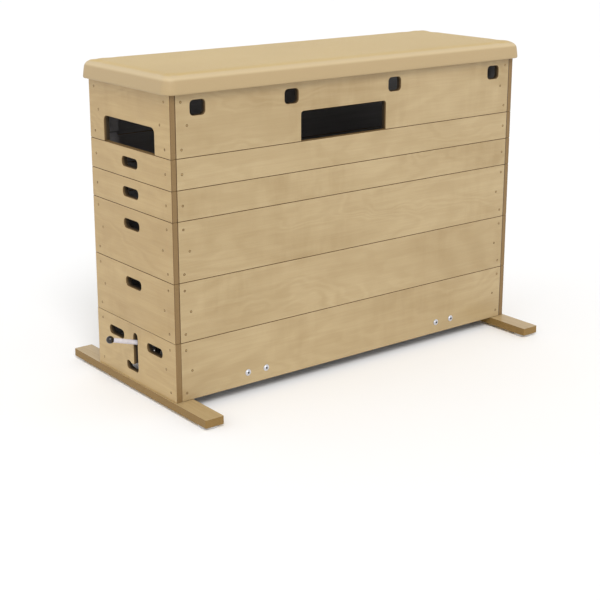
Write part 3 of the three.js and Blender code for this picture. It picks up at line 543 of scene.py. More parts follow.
@dataclass(frozen=True)
class LeatherFinish(Finish):
    """Smooth, lightly coated leather, with a painted highlight along its rounded top edge and painted shade
    on its sides.
    """

    base: Colour
    warm: Colour
    crease: Colour
    edge: Colour
    side: Colour
    top_height: float
    relief: float = 0.00012

    def dress(self, surface: Surface) -> bpy.types.Material:
        """Builds the shader tree.

        Args:
            surface: The new material's graph.

        Returns:
            The material.
        """
        skin = surface.group(leather_grain, Vector=surface.place)
        marks = surface.group(handling_marks, Vector=surface.place)
        colour = surface.mix(skin["Tone"], self.base, self.warm)
        colour = surface.mix((1.0 - skin["Crease"]) * 0.35, colour, self.crease)
        colour = surface.mix(marks["Smudge"] * 0.08, colour, self.crease)
        depth = self.top_height - surface.wire("SeparateXYZ", {"Vector": surface.place}, "Z")
        # Painted highlight: a pale band along the rounded top edge, where light catches the rounding.
        colour = surface.mix(surface.ramp(depth, 0.002, 0.008), colour, self.edge)
        return surface.coated(
            skin["Crease"] * 0.8 + skin["Pores"] * 0.2,
            self.relief,
            # Painted shade: below the rounded edge the sides take the darker side colour, as sides turned
            # from the light.
            Base_Color=surface.mix(surface.ramp(depth, 0.013, 0.022), colour, self.side),
            Roughness=skin["Crease"] * -0.12 + 0.56 + marks["Scuff"] * 0.1,
            Coat_Weight=0.06,
            Coat_Roughness=0.35,
            Specular_IOR_Level=0.4,
        )


@dataclass(frozen=True)
class MetalFinish(Finish):
    """Plated or oiled steel."""

    bright: Colour
    dull: Colour
    roughness: float
    metallic: float = 0.9
    relief: float = 0.00003

    def dress(self, surface: Surface) -> bpy.types.Material:
        """Builds the shader tree.

        Args:
            surface: The new material's graph.

        Returns:
            The material.
        """
        skin = surface.group(metal_skin, Vector=surface.place)
        colour = surface.mix(skin["Cloud"], self.bright, self.dull)
        return surface.coated(
            skin["Lines"],
            self.relief,
            Base_Color=surface.mix(skin["Spots"] * 0.5, colour, self.dull),
            Roughness=skin["Cloud"] * 0.12 + self.roughness + skin["Lines"] * 0.06,
            Metallic=self.metallic,
        )


@dataclass(frozen=True)
class MouldedFinish(Finish):
    """Moulded rubber or plastic; its shader also colours the dark sheets of painted shade in screw
    countersinks and bolt sockets.
    """

    base: Colour
    # The worn colour that tone and dust mix in; on moulded parts this is wear, not shade.
    worn: Colour
    roughness: float
    relief: float = 0.00005
    coat: float = 0.0

    def dress(self, surface: Surface) -> bpy.types.Material:
        """Builds the shader tree.

        Args:
            surface: The new material's graph.

        Returns:
            The material.
        """
        skin = surface.group(moulded_skin, Vector=surface.place)
        share = skin["Tone"] * 0.5 + skin["Dust"] * 0.3
        return surface.coated(
            skin["Stipple"],
            self.relief,
            Base_Color=surface.mix(share, self.base, self.worn),
            Roughness=skin["Dust"] * 0.15 + self.roughness,
            Coat_Weight=self.coat,
        )


SIDE_PLY = PlywoodFinish("plywood_side", Slot.PLYWOOD, srgb(181, 160, 121), srgb(158, 135, 95))
END_PLY = PlywoodFinish("plywood_end", Slot.PLYWOOD, srgb(185, 159, 111), srgb(162, 134, 87), turned=True)
SKID_PLY = PlywoodFinish(
    "plywood_skid", Slot.BEECH, srgb(212, 186, 140), srgb(196, 168, 120), srgb(144, 114, 60),
    srgb(116, 87, 38), True, srgb(184, 160, 118), srgb(170, 145, 102), layers=15.0,
)
BOARD_PLY = PlywoodFinish("plywood_board", Slot.PLYWOOD, srgb(196, 172, 130), srgb(180, 154, 110))
# Painted shade: the posts are dark grey all over, like the inside faces, for the shadow inside the box.
POST_WOOD = PlywoodFinish(
    "post_timber", Slot.PLYWOOD, *(srgb(122, 119, 119), srgb(106, 103, 103)) * 2, streak=srgb(84, 82, 82)
)
# Painted highlight and shade: edge is the pale band on the rounded top edge, side the darker colour of the
# pad's sides.
LEATHER = LeatherFinish(
    "leather_cover", Slot.LEATHER, srgb(201, 174, 115), srgb(196, 168, 109), srgb(171, 143, 90),
    edge=srgb(196, 175, 137), side=srgb(171, 148, 109), top_height=1.1,
)
STEEL = MetalFinish("zinc_steel", Slot.STEEL, srgb(226, 227, 232), srgb(190, 192, 200), 0.3)
LEVER_ZINC = MetalFinish("lever_zinc", Slot.STEEL, srgb(226, 224, 233), srgb(210, 208, 219), 0.42, 0.2)
SPRING_STEEL = MetalFinish("spring_steel", Slot.SPRING, srgb(120, 122, 126), srgb(74, 74, 78), 0.32)
SCREW_BRASS = MetalFinish("screw_brass", Slot.STEEL, srgb(176, 148, 100), srgb(120, 94, 58), 0.36)
# Painted shade: the near-black lining of the bolts' hex sockets, for the shadow in the recess.
SOCKET_SHADE = MouldedFinish("black_socket", Slot.STEEL, srgb(22, 20, 20), srgb(34, 31, 30), 0.6)
# Painted shade: the dark brown of the rings round the screw heads, for the shadow in their countersinks.
COUNTERSINK_SHADE = MouldedFinish("screw_recess", Slot.PLYWOOD, srgb(74, 54, 32), srgb(50, 36, 22), 0.7)
BLACK_KNOB = MouldedFinish(
    "black_knob", Slot.PLASTIC, srgb(16, 13, 15), srgb(26, 23, 25), 0.3, 0.00001, 0.2
)
FOOT_RUBBER = MouldedFinish("foot_rubber", Slot.FOOT, srgb(186, 184, 183), srgb(170, 168, 166), 0.6)
TYRE_RUBBER = MouldedFinish("tyre_rubber", Slot.TYRE, srgb(52, 51, 52), srgb(74, 72, 70), 0.65)
WHEEL_HUB = MouldedFinish("wheel_hub", Slot.TYRE, srgb(206, 206, 204), srgb(176, 176, 174), 0.4)


# Mesh tools


@dataclass(frozen=True)
class Loop:
    """A closed outline of straight edges, whose corners each have a rounding radius after X and Y."""

    corners: tuple[Triple, ...]

    @staticmethod
    def rectangle(centre: Point, size: Point, radius: float = 0.0) -> Loop:
        """Makes a rectangle.

        Args:
            centre: The middle.
            size: Width and height.
            radius: Radius of all four corners.

        Returns:
            The outline.
        """
        (across, up), (width, height) = centre, size
        signs = ((-1, -1), (1, -1), (1, 1), (-1, 1))
        return Loop(tuple((across + x * width / 2, up + y * height / 2, radius) for x, y in signs))

    @staticmethod
    def circle(centre: Point, radius: float) -> Loop:
        """Makes a circle as a fully rounded square."""
        return Loop.rectangle(centre, (2 * radius, 2 * radius), radius * 0.999)

    @staticmethod
    def notched(half: float, height: float, centre: float, notch: Triple) -> Loop:
        """Makes a panel with a notch in its lower edge.

        Args:
            half: Half the panel's width.
            height: The panel's height.
            centre: The notch's middle.
            notch: The notch's width, height and corner radius.

        Returns:
            The outline.
        """
        width, rise, radius = notch
        left, right = centre - width / 2, centre + width / 2
        cut = ((left, 0, 0), (left, rise, radius), (right, rise, radius), (right, 0, 0))
        return Loop(((-half, 0, 0), *cut, (half, 0, 0), (half, height, 0), (-half, height, 0)))

    @staticmethod
    def bar(start: Point, start_radius: float, end: Point, end_radius: float) -> Loop:
        """Makes a bar with two round ends, as a rounded quadrilateral.

        Args:
            start: Middle of the first round end.
            start_radius: Its radius.
            end: Middle of the second round end.
            end_radius: Its radius.

        Returns:
            The outline.
        """
        first, last = Vector(start), Vector(end)
        along = (last - first).normalized()
        across = Vector((-along.y, along.x))
        lean = (start_radius - end_radius) / (last - first).length
        corners = []
        for middle, radius, sign in ((first, start_radius, -1), (last, end_radius, 1)):
            for turn in (-sign, sign):
                at = middle + along * sign * radius + across * turn * radius * (1 - sign * lean)
                corners.append((at.x, at.y, radius * 0.97))
        return Loop(tuple(corners))


def bevel(
    bm: BMesh, geom: Sequence[BMVert | BMEdge], offset: float, segments: int, affect: str = "EDGES",
    clamp: bool = False,
) -> None:
    """Rounds edges, or the corners of an outline.

    Args:
        bm: The mesh.
        geom: The edges or corners.
        offset: Width of the rounding.
        segments: Steps of the rounding.
        affect: EDGES or VERTICES.
        clamp: Whether roundings that meet are kept from crossing.
    """
    bmesh.ops.bevel(
        bm, geom=geom, offset=offset, offset_type="OFFSET", segments=segments, profile=0.5,
        affect=affect, clamp_overlap=clamp, material=-1,
    )


def soften(bm: BMesh, width: float, segments: int) -> None:
    """Rounds every sharp edge of a closed mesh.

    Args:
        bm: The mesh.
        width: Width of the rounding.
        segments: Steps of the rounding.
    """
    bmesh.ops.recalc_face_normals(bm, faces=bm.faces)
    limit = math.radians(40)
    sharp = [e for e in bm.edges if len(e.link_faces) == 2 and e.calc_face_angle(0.0) > limit]
    bevel(bm, sharp, width, segments, clamp=True)


def only(geom: Iterable[object], kind: type) -> list:
    """Picks the parts of one kind out of an operator's result."""
    return [part for part in geom if isinstance(part, kind)]


def grow(bm: BMesh, ring: Sequence[BMEdge]) -> tuple[list[BMVert], list[BMEdge]]:
    """Extrudes a ring of open edges.

    Args:
        bm: The mesh.
        ring: The edges.

    Returns:
        The new ring's corners and its edges.
    """
    grown = bmesh.ops.extrude_edge_only(bm, edges=ring)["geom"]
    return only(grown, BMVert), [edge for edge in only(grown, BMEdge) if len(edge.link_faces) == 1]


def ring_edges(verts: Sequence[BMVert]) -> list[BMEdge]:
    """Lists the edges of a ring of corners, each once."""
    return list({edge for vert in verts for edge in vert.link_edges})


def cube(size: Sequence[float], centre: Sequence[float] = (0, 0, 0)) -> BMesh:
    """Makes a box.

    Args:
        size: Its length along each axis.
        centre: Its middle.

    Returns:
        The closed mesh.
    """
    bm = bmesh.new()
    bmesh.ops.create_cube(bm, size=1)
    bmesh.ops.scale(bm, vec=size, verts=bm.verts)
    bmesh.ops.translate(bm, vec=centre, verts=bm.verts)
    return bm


def cut_sheet(
    outline: Loop, holes: Iterable[Loop], thickness: float, edge: float, segments: int = 8,
    edge_segments: int = 3,
) -> BMesh:
    """Makes a sheet with an outline and holes, from zero depth to its thickness.

    Args:
        outline: The outer outline.
        holes: The holes' outlines.
        thickness: The sheet's thickness.
        edge: Rounding of its edges.
        segments: Steps of each rounded corner.
        edge_segments: Steps of the edge's rounding.

    Returns:
        The closed mesh.
    """
    bm = bmesh.new()
    for loop in (outline, *holes):
        verts = [bm.verts.new((x, y, 0)) for x, y, _ in loop.corners]
        bm.faces.new(verts)
        for vert, (_, _, radius) in zip(verts, loop.corners):
            if radius > 0:
                bevel(bm, [vert], radius, segments, "VERTICES")
        bmesh.ops.delete(bm, geom=bm.faces[:], context="FACES_ONLY")
    bmesh.ops.triangle_fill(bm, use_beauty=True, use_dissolve=False, edges=bm.edges[:])
    bmesh.ops.recalc_face_normals(bm, faces=bm.faces)
    if bm.faces[:][0].normal.z < 0:
        bmesh.ops.reverse_faces(bm, faces=bm.faces)
    sheet = bmesh.ops.extrude_face_region(bm, geom=bm.faces[:], use_keep_orig=True)["geom"]
    bmesh.ops.translate(bm, vec=(0, 0, thickness), verts=only(sheet, BMVert))
    soften(bm, edge, edge_segments)
    return bm


def turned(profile: Iterable[Point], steps: int = 40) -> BMesh:
    """Turns a profile round the Z axis.

    Args:
        profile: Radius and height of each point, from one end of the axis to the other.
        steps: Steps of the full turn.

    Returns:
        The closed mesh.
    """
    bm = bmesh.new()
    verts = [bm.verts.new((radius, 0, height)) for radius, height in profile]
    edges = [bm.edges.new(pair) for pair in zip(verts, verts[1:])]
    bmesh.ops.spin(
        bm, geom=verts + edges, axis=(0, 0, 1), cent=(0, 0, 0), steps=steps, angle=TURN,
        use_merge=True, use_normal_flip=False, use_duplicate=False,
    )
    bmesh.ops.remove_doubles(bm, verts=bm.verts, dist=MERGE)
    bmesh.ops.recalc_face_normals(bm, faces=bm.faces)
    return bm


def rod(radius: float, low: float, high: float, edge: float = 0.0005, steps: int = 32) -> BMesh:
    """Turns a plain rod on the Z axis, with rounded ends.

    Args:
        radius: The rod's radius.
        low: Height of one end.
        high: Height of the other end.
        edge: Rounding of its end edges.
        steps: Steps of the full turn.

    Returns:
        The closed mesh.
    """
    low, high = sorted((low, high))
    bends = ((1, 0), (0.3, 0.3), (0, 1))
    foot = [(radius - edge * inwards, low + edge * up) for inwards, up in bends]
    head = [(radius - edge * inwards, high - edge * down) for inwards, down in reversed(bends)]
    return turned([(0, low), *foot, *head, (0, high)], steps)


def torus(radius: float, size: float, steps: int) -> BMesh:
    """Turns a ring with a round section on the Z axis, such as a weld bead."""
    angles = (TURN * step / 8 for step in range(9))
    return turned([(radius + size * math.cos(a), size * math.sin(a)) for a in angles], steps)


def nut(radius: float, low: float, high: float) -> BMesh:
    """Makes a hexagon on the Z axis with softened edges.

    Args:
        radius: Radius over the corners.
        low: Height of one face.
        high: Height of the other face.

    Returns:
        The closed mesh.
    """
    bm = bmesh.new()
    bmesh.ops.create_cone(
        bm, cap_ends=True, segments=6, radius1=radius, radius2=radius, depth=abs(high - low),
        matrix=shift(z=(low + high) / 2),
    )
    soften(bm, radius * 0.07, 2)
    return bm


def shift(x: float = 0.0, y: float = 0.0, z: float = 0.0) -> Matrix:
    """Gives the matrix of a move."""
    return Matrix.Translation((x, y, z))


def placed(bm: BMesh, *matrices: Matrix) -> BMesh:
    """Moves a mesh by several matrices.

    Args:
        bm: The mesh.
        *matrices: The moves, of which the last one comes first.

    Returns:
        The same mesh.
    """
    move, *others = matrices
    for matrix in others:
        move = move @ matrix
    bmesh.ops.transform(bm, matrix=move, verts=bm.verts)
    if move.determinant() < 0:
        bmesh.ops.reverse_faces(bm, faces=bm.faces)
    return bm


def gathered(parts: Iterable[BMesh]) -> BMesh:
    """Puts several meshes into the first one.

    Args:
        parts: The meshes, of which all but the first are freed.

    Returns:
        The first mesh, with everything in it.
    """
    first, *others = parts
    for other in others:
        spare = bpy.data.meshes.new("spare")
        other.to_mesh(spare)
        other.free()
        first.from_mesh(spare)
        bpy.data.meshes.remove(spare)
    return first


def in_order(bm: BMesh) -> BMesh:
    """Sorts a mesh's corners and faces by place, so that merging and cloth give the same each run.

    Args:
        bm: The mesh, which is freed.

    Returns:
        The same shape in its new order.
    """
    corners = sorted(bm.verts, key=lambda vert: vert.co[:])
    rank = {vert: number for number, vert in enumerate(corners)}
    rings = []
    for face in bm.faces:
        ring = [rank[vert] for vert in face.verts]
        first = ring.index(min(ring))
        rings.append(ring[first:] + ring[:first])
    fresh = bmesh.new()
    verts = [fresh.verts.new(vert.co) for vert in corners]
    for ring in sorted(rings):
        fresh.faces.new([verts[number] for number in ring])
    bm.free()
    return fresh


def screw_head(radius: float, recess: float) -> BMesh:
    """Makes a countersunk screw head with a cross recess, its top towards -Z at zero depth.

    Args:
        radius: The head's radius.
        recess: Length of the cross, over its radius.

    Returns:
        The closed mesh of one head.
    """
    bm = bmesh.new()
    slim = recess * 0.32
    arm = ((recess, -slim), (recess, slim), (slim, slim))
    turns = ((1, 0), (0, 1), (-1, 0), (0, -1))
    cross = [bm.verts.new((x * cos - y * sin, x * sin + y * cos, 0)) for cos, sin in turns for x, y in arm]
    edges = [bm.edges.new(pair) for pair in zip(cross, cross[1:] + cross[:1])]
    rim = ring_edges(bmesh.ops.create_circle(bm, cap_ends=False, segments=16, radius=radius * 0.9)["verts"])
    bmesh.ops.triangle_fill(bm, use_beauty=True, use_dissolve=False, edges=edges + rim)
    for ring, steps in ((edges, ((0.35, 0.45),)), (rim, ((0.12, 1.11), (0.4, 0.7)))):
        for drop, scale in steps:
            verts, ring = grow(bm, ring)
            bmesh.ops.scale(bm, vec=(scale, scale, 1), verts=verts)
            bmesh.ops.translate(bm, vec=(0, 0, drop * radius), verts=verts)
        bmesh.ops.contextual_create(bm, geom=ring)
    bmesh.ops.recalc_face_normals(bm, faces=bm.faces)
    return bm


ALONG_X = Matrix.Rotation(QUARTER, 4, "Y")
AGAINST_X = Matrix.Rotation(-QUARTER, 4, "Y")
ALONG_Y = Matrix.Rotation(-QUARTER, 4, "X")


@dataclass
class Workshop:
    """Turns meshes into the object's pieces."""

    rng: random.Random = field(default_factory=lambda: random.Random(SEED))
    count: int = 0
    jamb_margin: float = 0.005

    def piece(
        self, name: str, bm: BMesh, finish: Finish, body: str | None, *nodes: str,
        angle: float = 38.0, weighted: bool = True,
    ) -> bpy.types.Object:
        """Makes a piece.

        Args:
            name: The piece's name.
            bm: Its mesh, which is freed.
            finish: Its finish.
            body: The body that it rides on, or None for a piece that rides on no body.
            *nodes: The CAD nodes that it stands for.
            angle: Edges sharper than this, in degrees, stay sharp in the shading.
            weighted: Whether large faces keep their own shading.

        Returns:
            The new object.
        """
        mesh = bpy.data.meshes.new(name)
        bm.to_mesh(mesh)
        bm.free()
        mesh.materials.append(finish.material())
        mesh.shade_smooth()
        mesh.set_sharp_from_angle(angle=math.radians(angle))
        obj = linked(bpy.data.objects.new(name, mesh))
        if weighted:
            modifier = obj.modifiers.new("even_shading", "WEIGHTED_NORMAL")
            modifier.keep_sharp = True
            modifier.weight = 80
        if body:
            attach(obj, body)
        if nodes:
            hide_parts(*nodes)
        self.count += 1
        log.info("%s rides on %s with %d faces", name, body or "two bodies", len(mesh.polygons))
        return obj

    def shuffle_grain(self, bm: BMesh) -> None:
        """Gives a wooden mesh its own place in the grain.

        Args:
            bm: The mesh.
        """
        offset = bm.verts.layers.float_vector.new("grain_offset")
        seed = Vector([self.rng.uniform(-4, 4) for _ in range(3)])
        for vert in bm.verts:
            vert[offset] = seed

    def board(
        self, name: str, bm: BMesh, thickness: float, move: Matrix, finish: Finish, body: str, node: str
    ) -> None:
        """Makes a plywood board whose mesh says where its edges and its inner face are.

        Args:
            name: The piece's name.
            bm: A sheet from zero depth, its outer face, to its thickness.
            thickness: The sheet's thickness.
            move: Where the sheet goes.
            finish: Its finish.
            body: The body that it rides on.
            node: The CAD node that it stands for.
        """
        self.shuffle_grain(bm)
        depth = bm.verts.layers.float.new("ply_depth")
        is_edge, is_inside, is_jamb = (
            bm.faces.layers.float.new(f"ply_{label}") for label in ("edge", "inside", "jamb")
        )
        reach = [[pick(vert.co[axis] for vert in bm.verts) for pick in (min, max)] for axis in (0, 1)]
        bm.normal_update()
        for vert in bm.verts:
            vert[depth] = vert.co.z / thickness
        for face in bm.faces:
            face[is_edge] = 1 - abs(face.normal.z)
            face[is_inside] = float(face.normal.z > 0.5)
            middle = face.calc_center_median()
            margin = min(abs(middle[axis] - limit) for axis in (0, 1) for limit in reach[axis])
            face[is_jamb] = float(margin > self.jamb_margin and abs(face.normal.z) < 0.9)
        self.piece(name, placed(bm, move), finish, body, node)


def linked(obj: bpy.types.Object) -> bpy.types.Object:
    """Puts an object into the scene."""
    bpy.context.scene.collection.objects.link(obj)
    return obj


@dataclass(frozen=True)
class Extent:
    """The box round a CAD node."""

    low: Vector
    high: Vector

    @staticmethod
    def of(node: str) -> Extent:
        """Reads it from the frame."""
        return Extent(*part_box(node))

    @property
    def size(self) -> Vector:
        """Length along each axis."""
        return self.high - self.low

    @property
    def centre(self) -> Vector:
        """The middle."""
        return (self.low + self.high) / 2

    @property
    def foot(self) -> Vector:
        """Middle of the lower face."""
        return Vector((self.centre.x, self.centre.y, self.low.z))


@dataclass(frozen=True)
class Layout:
    """Sizes of the wooden box, and where the frame holds it."""

    centre_x: float
    length: float = 1.5
    width: float = 0.5
    ply: float = 0.02
    gap: float = 0.0003
    rounding: float = 0.0023

    @property
    def half(self) -> Point:
        """Half of the box's length and width."""
        return self.length / 2, self.width / 2

    @property
    def inner_half(self) -> Point:
        """Half of the space between the panels, along X and Y."""
        return tuple(half - self.ply - self.gap for half in self.half)

    def at(self, x: float, y: float, z: float) -> Vector:
        """Turns a place measured from the box's middle into the frame's."""
        return Vector((self.centre_x + x, y, z))


@dataclass
class Assembly:
    """What every sub-assembly has: the box's layout, and the shop that makes its pieces."""

    layout: Layout
    shop: Workshop


# The wooden box


@dataclass(frozen=True)
class Level:
    """One section of the stack, with its height range taken from the frame."""

    name: str
    bottom: float
    top: float

    @staticmethod
    def from_frame(name: str) -> Level:
        """Reads a section's height range from its lever-end panel."""
        extent = Extent.of(f"{name}_lever_end")
        return Level(name, extent.low.z, extent.high.z)

    @property
    def height(self) -> float:
        """Height of the panels."""
        return self.top - self.bottom

    @property
    def is_low(self) -> bool:
        """Whether it is one of the lower sections."""
        return self.height < 0.15


@dataclass(frozen=True)
class ScrewPattern:
    """Screws near the upright edges of a panel."""

    head: float = 0.0034
    recess: float = 0.0017
    proud: float = 0.00025
    rim_proud: float = 0.00004
    end_insets: Point = (0.034, 0.060)
    side_insets: Point = (0.040, 0.062)
    edge_margin: float = 0.027
    rim_profile: tuple[Point, ...] = ((0.8, 0), (1.22, -0.00008), (1.3, 0.0002), (0.8, 0.0004), (0.8, 0))

    def places(self, half_width: float, level: Level, is_end: bool) -> list[Point]:
        """Lists where the screws of a panel go.

        Args:
            half_width: From the panel's middle to the box's corner.
            level: The section.
            is_end: Whether it is an end panel.

        Returns:
            Distance from the middle and height above the lower edge of each screw.
        """
        inset, middle = self.end_insets if is_end else self.side_insets
        low, high = self.edge_margin, level.height - self.edge_margin
        rows = [(inset, low), (middle, level.height / 2), (inset, high)]
        if level.is_low:
            rows = [(inset, level.height / 2)]
        return [(side * (half_width - across), up) for side in (-1, 1) for across, up in rows]

    def build(self, shop: Workshop, name: str, body: str, places: Iterable[Point], move: Matrix) -> None:
        """Makes a panel's screws as one piece, and as another the dark rings round them, painted shade that
        stands for the shadow in their countersinks.

        Args:
            shop: Makes the pieces.
            name: The panel's name.
            body: The body that they ride on.
            places: Where the screws go on the panel.
            move: The panel's own placing.
        """
        heads, rims = [], []
        for across, up in places:
            turn = Matrix.Rotation(shop.rng.uniform(0, TURN), 4, "Z")
            head = screw_head(self.head, self.recess)
            heads.append(placed(head, move, shift(across, up, -self.proud), turn))
            # Painted shade: a thin dark ring round each head, for the shadow of its countersink.
            rim = turned(((self.head * share, depth) for share, depth in self.rim_profile), 16)
            rims.append(placed(rim, move, shift(across, up, -self.rim_proud)))
        shop.piece(f"screws_{name}", gathered(heads), SCREW_BRASS, body)
        shop.piece(f"countersinks_{name}", gathered(rims), COUNTERSINK_SHADE, body)


@dataclass
class CornerPosts(Assembly):
    """Square posts inside the corners, whose tapered tips find the section above."""

    size: float = 0.0497
    edge: float = 0.003
    foot: float = 0.022
    tip: float = 0.02
    tip_share: float = 0.94
    tip_top_share: float = 0.74

    def mesh(self, bottom: float, top: float, has_tip: bool) -> BMesh:
        """Makes one post on the Z axis.

        Args:
            bottom: Height of its foot.
            top: Height where the tip begins.
            has_tip: Whether it has a tip.

        Returns:
            The closed mesh.
        """
        bm = cube((self.size, self.size, top - bottom), (0, 0, (top + bottom) / 2))
        if has_tip:
            cap = max(bm.faces, key=lambda face: face.calc_center_median().z)
            bmesh.ops.inset_region(bm, faces=[cap], thickness=self.size * (1 - self.tip_share) / 2)
            verts = only(bmesh.ops.extrude_face_region(bm, geom=[cap])["geom"], BMVert)
            bmesh.ops.delete(bm, geom=[cap], context="FACES_ONLY")
            share = self.tip_top_share / self.tip_share
            bmesh.ops.scale(bm, vec=(share, share, 1), verts=verts)
            bmesh.ops.translate(bm, vec=(0, 0, self.tip), verts=verts)
        soften(bm, self.edge, 3)
        return bm

    def build(self, level: Level) -> None:
        """Makes the four posts of a section.

        Args:
            level: The section.
        """
        inner_x, inner_y = (half - self.size / 2 for half in self.layout.inner_half)
        foot = 0.0 if level.name == "base" else self.foot
        for end in End:
            for side in Side:
                bm = self.mesh(level.bottom + foot, level.top, level.name != "top")
                self.shop.shuffle_grain(bm)
                placed(bm, Matrix.Translation(self.layout.at(end.value * inner_x, side.value * inner_y, 0)))
                place = f"{end.label}_{side.label}"
                node = f"{level.name}_post_{place}"
                nodes = [node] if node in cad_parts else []
                self.shop.piece(f"post_{level.name}_{place}", bm, POST_WOOD, level.name, *nodes)


@dataclass
class BoxSections(Assembly):
    """The base's panels, the loose sections and the top section's panels."""

    hand_hold: Triple = (0.096, 0.032, 0.0135)
    tall_rise: float = 0.145
    low_rise: float = 0.052
    base_spread: float = 0.122
    end_notch: Triple = (0.312, 0.086, 0.018)
    side_notch: Triple = (0.368, 0.100, 0.010)
    side_notch_offset: float = -0.058
    pole_hole: Triple = (0.056, 0.048, 0.013)
    pole_rise: float = 0.154
    pole_places: tuple[float, ...] = (-0.648, -0.282, 0.166, 0.648)
    slot_half: float = 0.014
    slot_top: float = 0.172
    slot_floor: float = 0.033
    hook_reach: float = 0.060
    hook_height: float = 0.024
    hook_lift: float = 0.006
    bolt_hole: float = 0.0047
    bolt_places: tuple[float, ...] = (-0.4675, -0.3925, 0.3925, 0.4675)
    bolt_rise: float = 0.042
    screws: ScrewPattern = ScrewPattern()

    def lever_slot(self) -> Loop:
        """Outlines the lever's slot with its hook.

        Returns:
            The outline, in the panel's own plane.
        """
        half, floor, reach = self.slot_half, self.slot_floor, self.hook_reach
        top, lip = floor + self.hook_height, reach - self.hook_height * 0.9
        tip, bend, crest = top + self.hook_lift, 0.0118, half * 0.995
        return Loop((
            (-half, floor, bend), (reach, floor, bend), (reach, tip, 0.009), (lip, tip, 0.009),
            (lip - self.hook_lift, top, 0.003), (half, top, 0.003),
            (half, self.slot_top, crest), (-half, self.slot_top, crest),
        ))

    def end_loops(self, level: Level, end: End) -> list[Loop]:
        """Outlines an end panel and its holes.

        Args:
            level: The section.
            end: The end that it is at.

        Returns:
            The panel's outline, and after it those of its holes.
        """
        half = self.layout.half[1]
        if level.name == "top":
            return [Loop.notched(half, level.height, 0, self.end_notch)]
        length, rise, radius = self.hand_hold
        spread = (-self.base_spread, self.base_spread) if level.name == "base" else (0.0,)
        up = self.low_rise if level.is_low else self.tall_rise
        holes = [Loop.rectangle((across, up), (length, rise), radius) for across in spread]
        if level.name == "base" and end is End.LEVER_END:
            holes.append(self.lever_slot())
        return [Loop.rectangle((0, level.height / 2), (2 * half, level.height)), *holes]

    def side_loops(self, level: Level, side: Side) -> list[Loop]:
        """Outlines a long side panel and its holes.

        Args:
            level: The section.
            side: The side that it is at.

        Returns:
            The panel's outline, and after it those of its holes.
        """
        half, height = self.layout.inner_half[0], level.height
        outline, holes = Loop.rectangle((0, height / 2), (2 * half, height)), []
        if level.name == "top":
            if side is Side.FRONT:
                outline = Loop.notched(half, height, self.side_notch_offset, self.side_notch)
            width, rise, radius = self.pole_hole
            holes = [Loop.rectangle((x, self.pole_rise), (width, rise), radius) for x in self.pole_places]
        if level.name == "base":
            holes = [Loop.circle((x, self.bolt_rise), self.bolt_hole) for x in self.bolt_places]
        return [outline, *holes]

    def panel(self, level: Level, station: End | Side, loops: Sequence[Loop]) -> None:
        """Makes one panel with its screws.

        Args:
            level: The section.
            station: The end or the side that it is at.
            loops: Outlines of the panel and of its holes.
        """
        is_end = isinstance(station, End)
        out, half = self.layout.half if is_end else reversed(self.layout.half)
        x, y = (station.value * out, 0) if is_end else (0, station.value * out)
        move = Facing[station.name].at(self.layout.at(x, y, level.bottom))
        bm = cut_sheet(loops[0], loops[1:], self.layout.ply, self.layout.rounding)
        name = f"{level.name}_{station.label}"
        finish = END_PLY if is_end else SIDE_PLY
        self.shop.board(f"panel_{name}", bm, self.layout.ply, move, finish, level.name, name)
        self.screws.build(self.shop, name, level.name, self.screws.places(half, level, is_end), move)

    def build(self) -> None:
        """Makes every panel and post."""
        posts = CornerPosts(self.layout, self.shop)
        for name in ("base", *(f"section_{number}" for number in range(2, 6)), "top"):
            level = Level.from_frame(name)
            for end in End:
                self.panel(level, end, self.end_loops(level, end))
            for side in Side:
                self.panel(level, side, self.side_loops(level, side))
            posts.build(level)


@dataclass
class Skids(Assembly):
    """The two cross-wise runners and their rubber feet."""

    edge: float = 0.0028
    corner: float = 0.004
    bolt_radius: float = 0.0105
    bolt_places: tuple[float, ...] = (-0.205, 0.0, 0.205)
    screw_pit: Point = (0.009, 0.005)

    def build(self) -> None:
        """Makes the skids, their bolts and the feet."""
        for end in End:
            node = f"skid_{end.label}"
            skid = Extent.of(node)
            outline = Loop.rectangle((0, 0), skid.size.xy, self.corner)
            bm = cut_sheet(outline, [], skid.size.z, self.edge, 4)
            move = Facing.LEVEL.at(skid.foot)
            self.shop.board(f"runner_{end.label}", bm, skid.size.z, move, SKID_PLY, "base", node)
            profile = [(0, -0.0012), (self.bolt_radius * 0.6, -0.001), (self.bolt_radius, 0), (0, 0.0004)]
            bolts = [
                placed(turned(profile, 24), shift(skid.centre.x, across, skid.low.z + 0.0002))
                for across in self.bolt_places
            ]
            self.shop.piece(f"runner_bolts_{end.label}", gathered(bolts), STEEL, "base")
            for side in Side:
                self.foot(f"foot_{end.label}_{side.label}")

    def foot(self, node: str) -> None:
        """Makes one foot with its screw.

        Args:
            node: The CAD node that it stands for.
        """
        foot = Extent.of(node)
        radius, height = foot.size.y / 2, foot.size.z
        shares = (
            (0, 1), (0.9, 1), (0.955, 0.93), (0.985, 0.8), (1, 0.6), (1, 0.38), (0.985, 0.2), (0.95, 0.07),
            (0.9, 0),
        )
        pit, depth = self.screw_pit
        hole = ((pit + 0.0008, 0), (pit, 0.0008), (pit, depth), (0, depth))
        move = Matrix.Translation(foot.foot)
        bm = turned([*((radius * out, height * up) for out, up in shares), *hole], 64)
        self.shop.piece(f"rubber_{node}", placed(bm, move), FOOT_RUBBER, "base", node)
        screw = placed(screw_head(0.0062, 0.0032), move, shift(z=0.0036))
        self.shop.piece(f"screw_{node}", screw, STEEL, "base")


# The padded lid


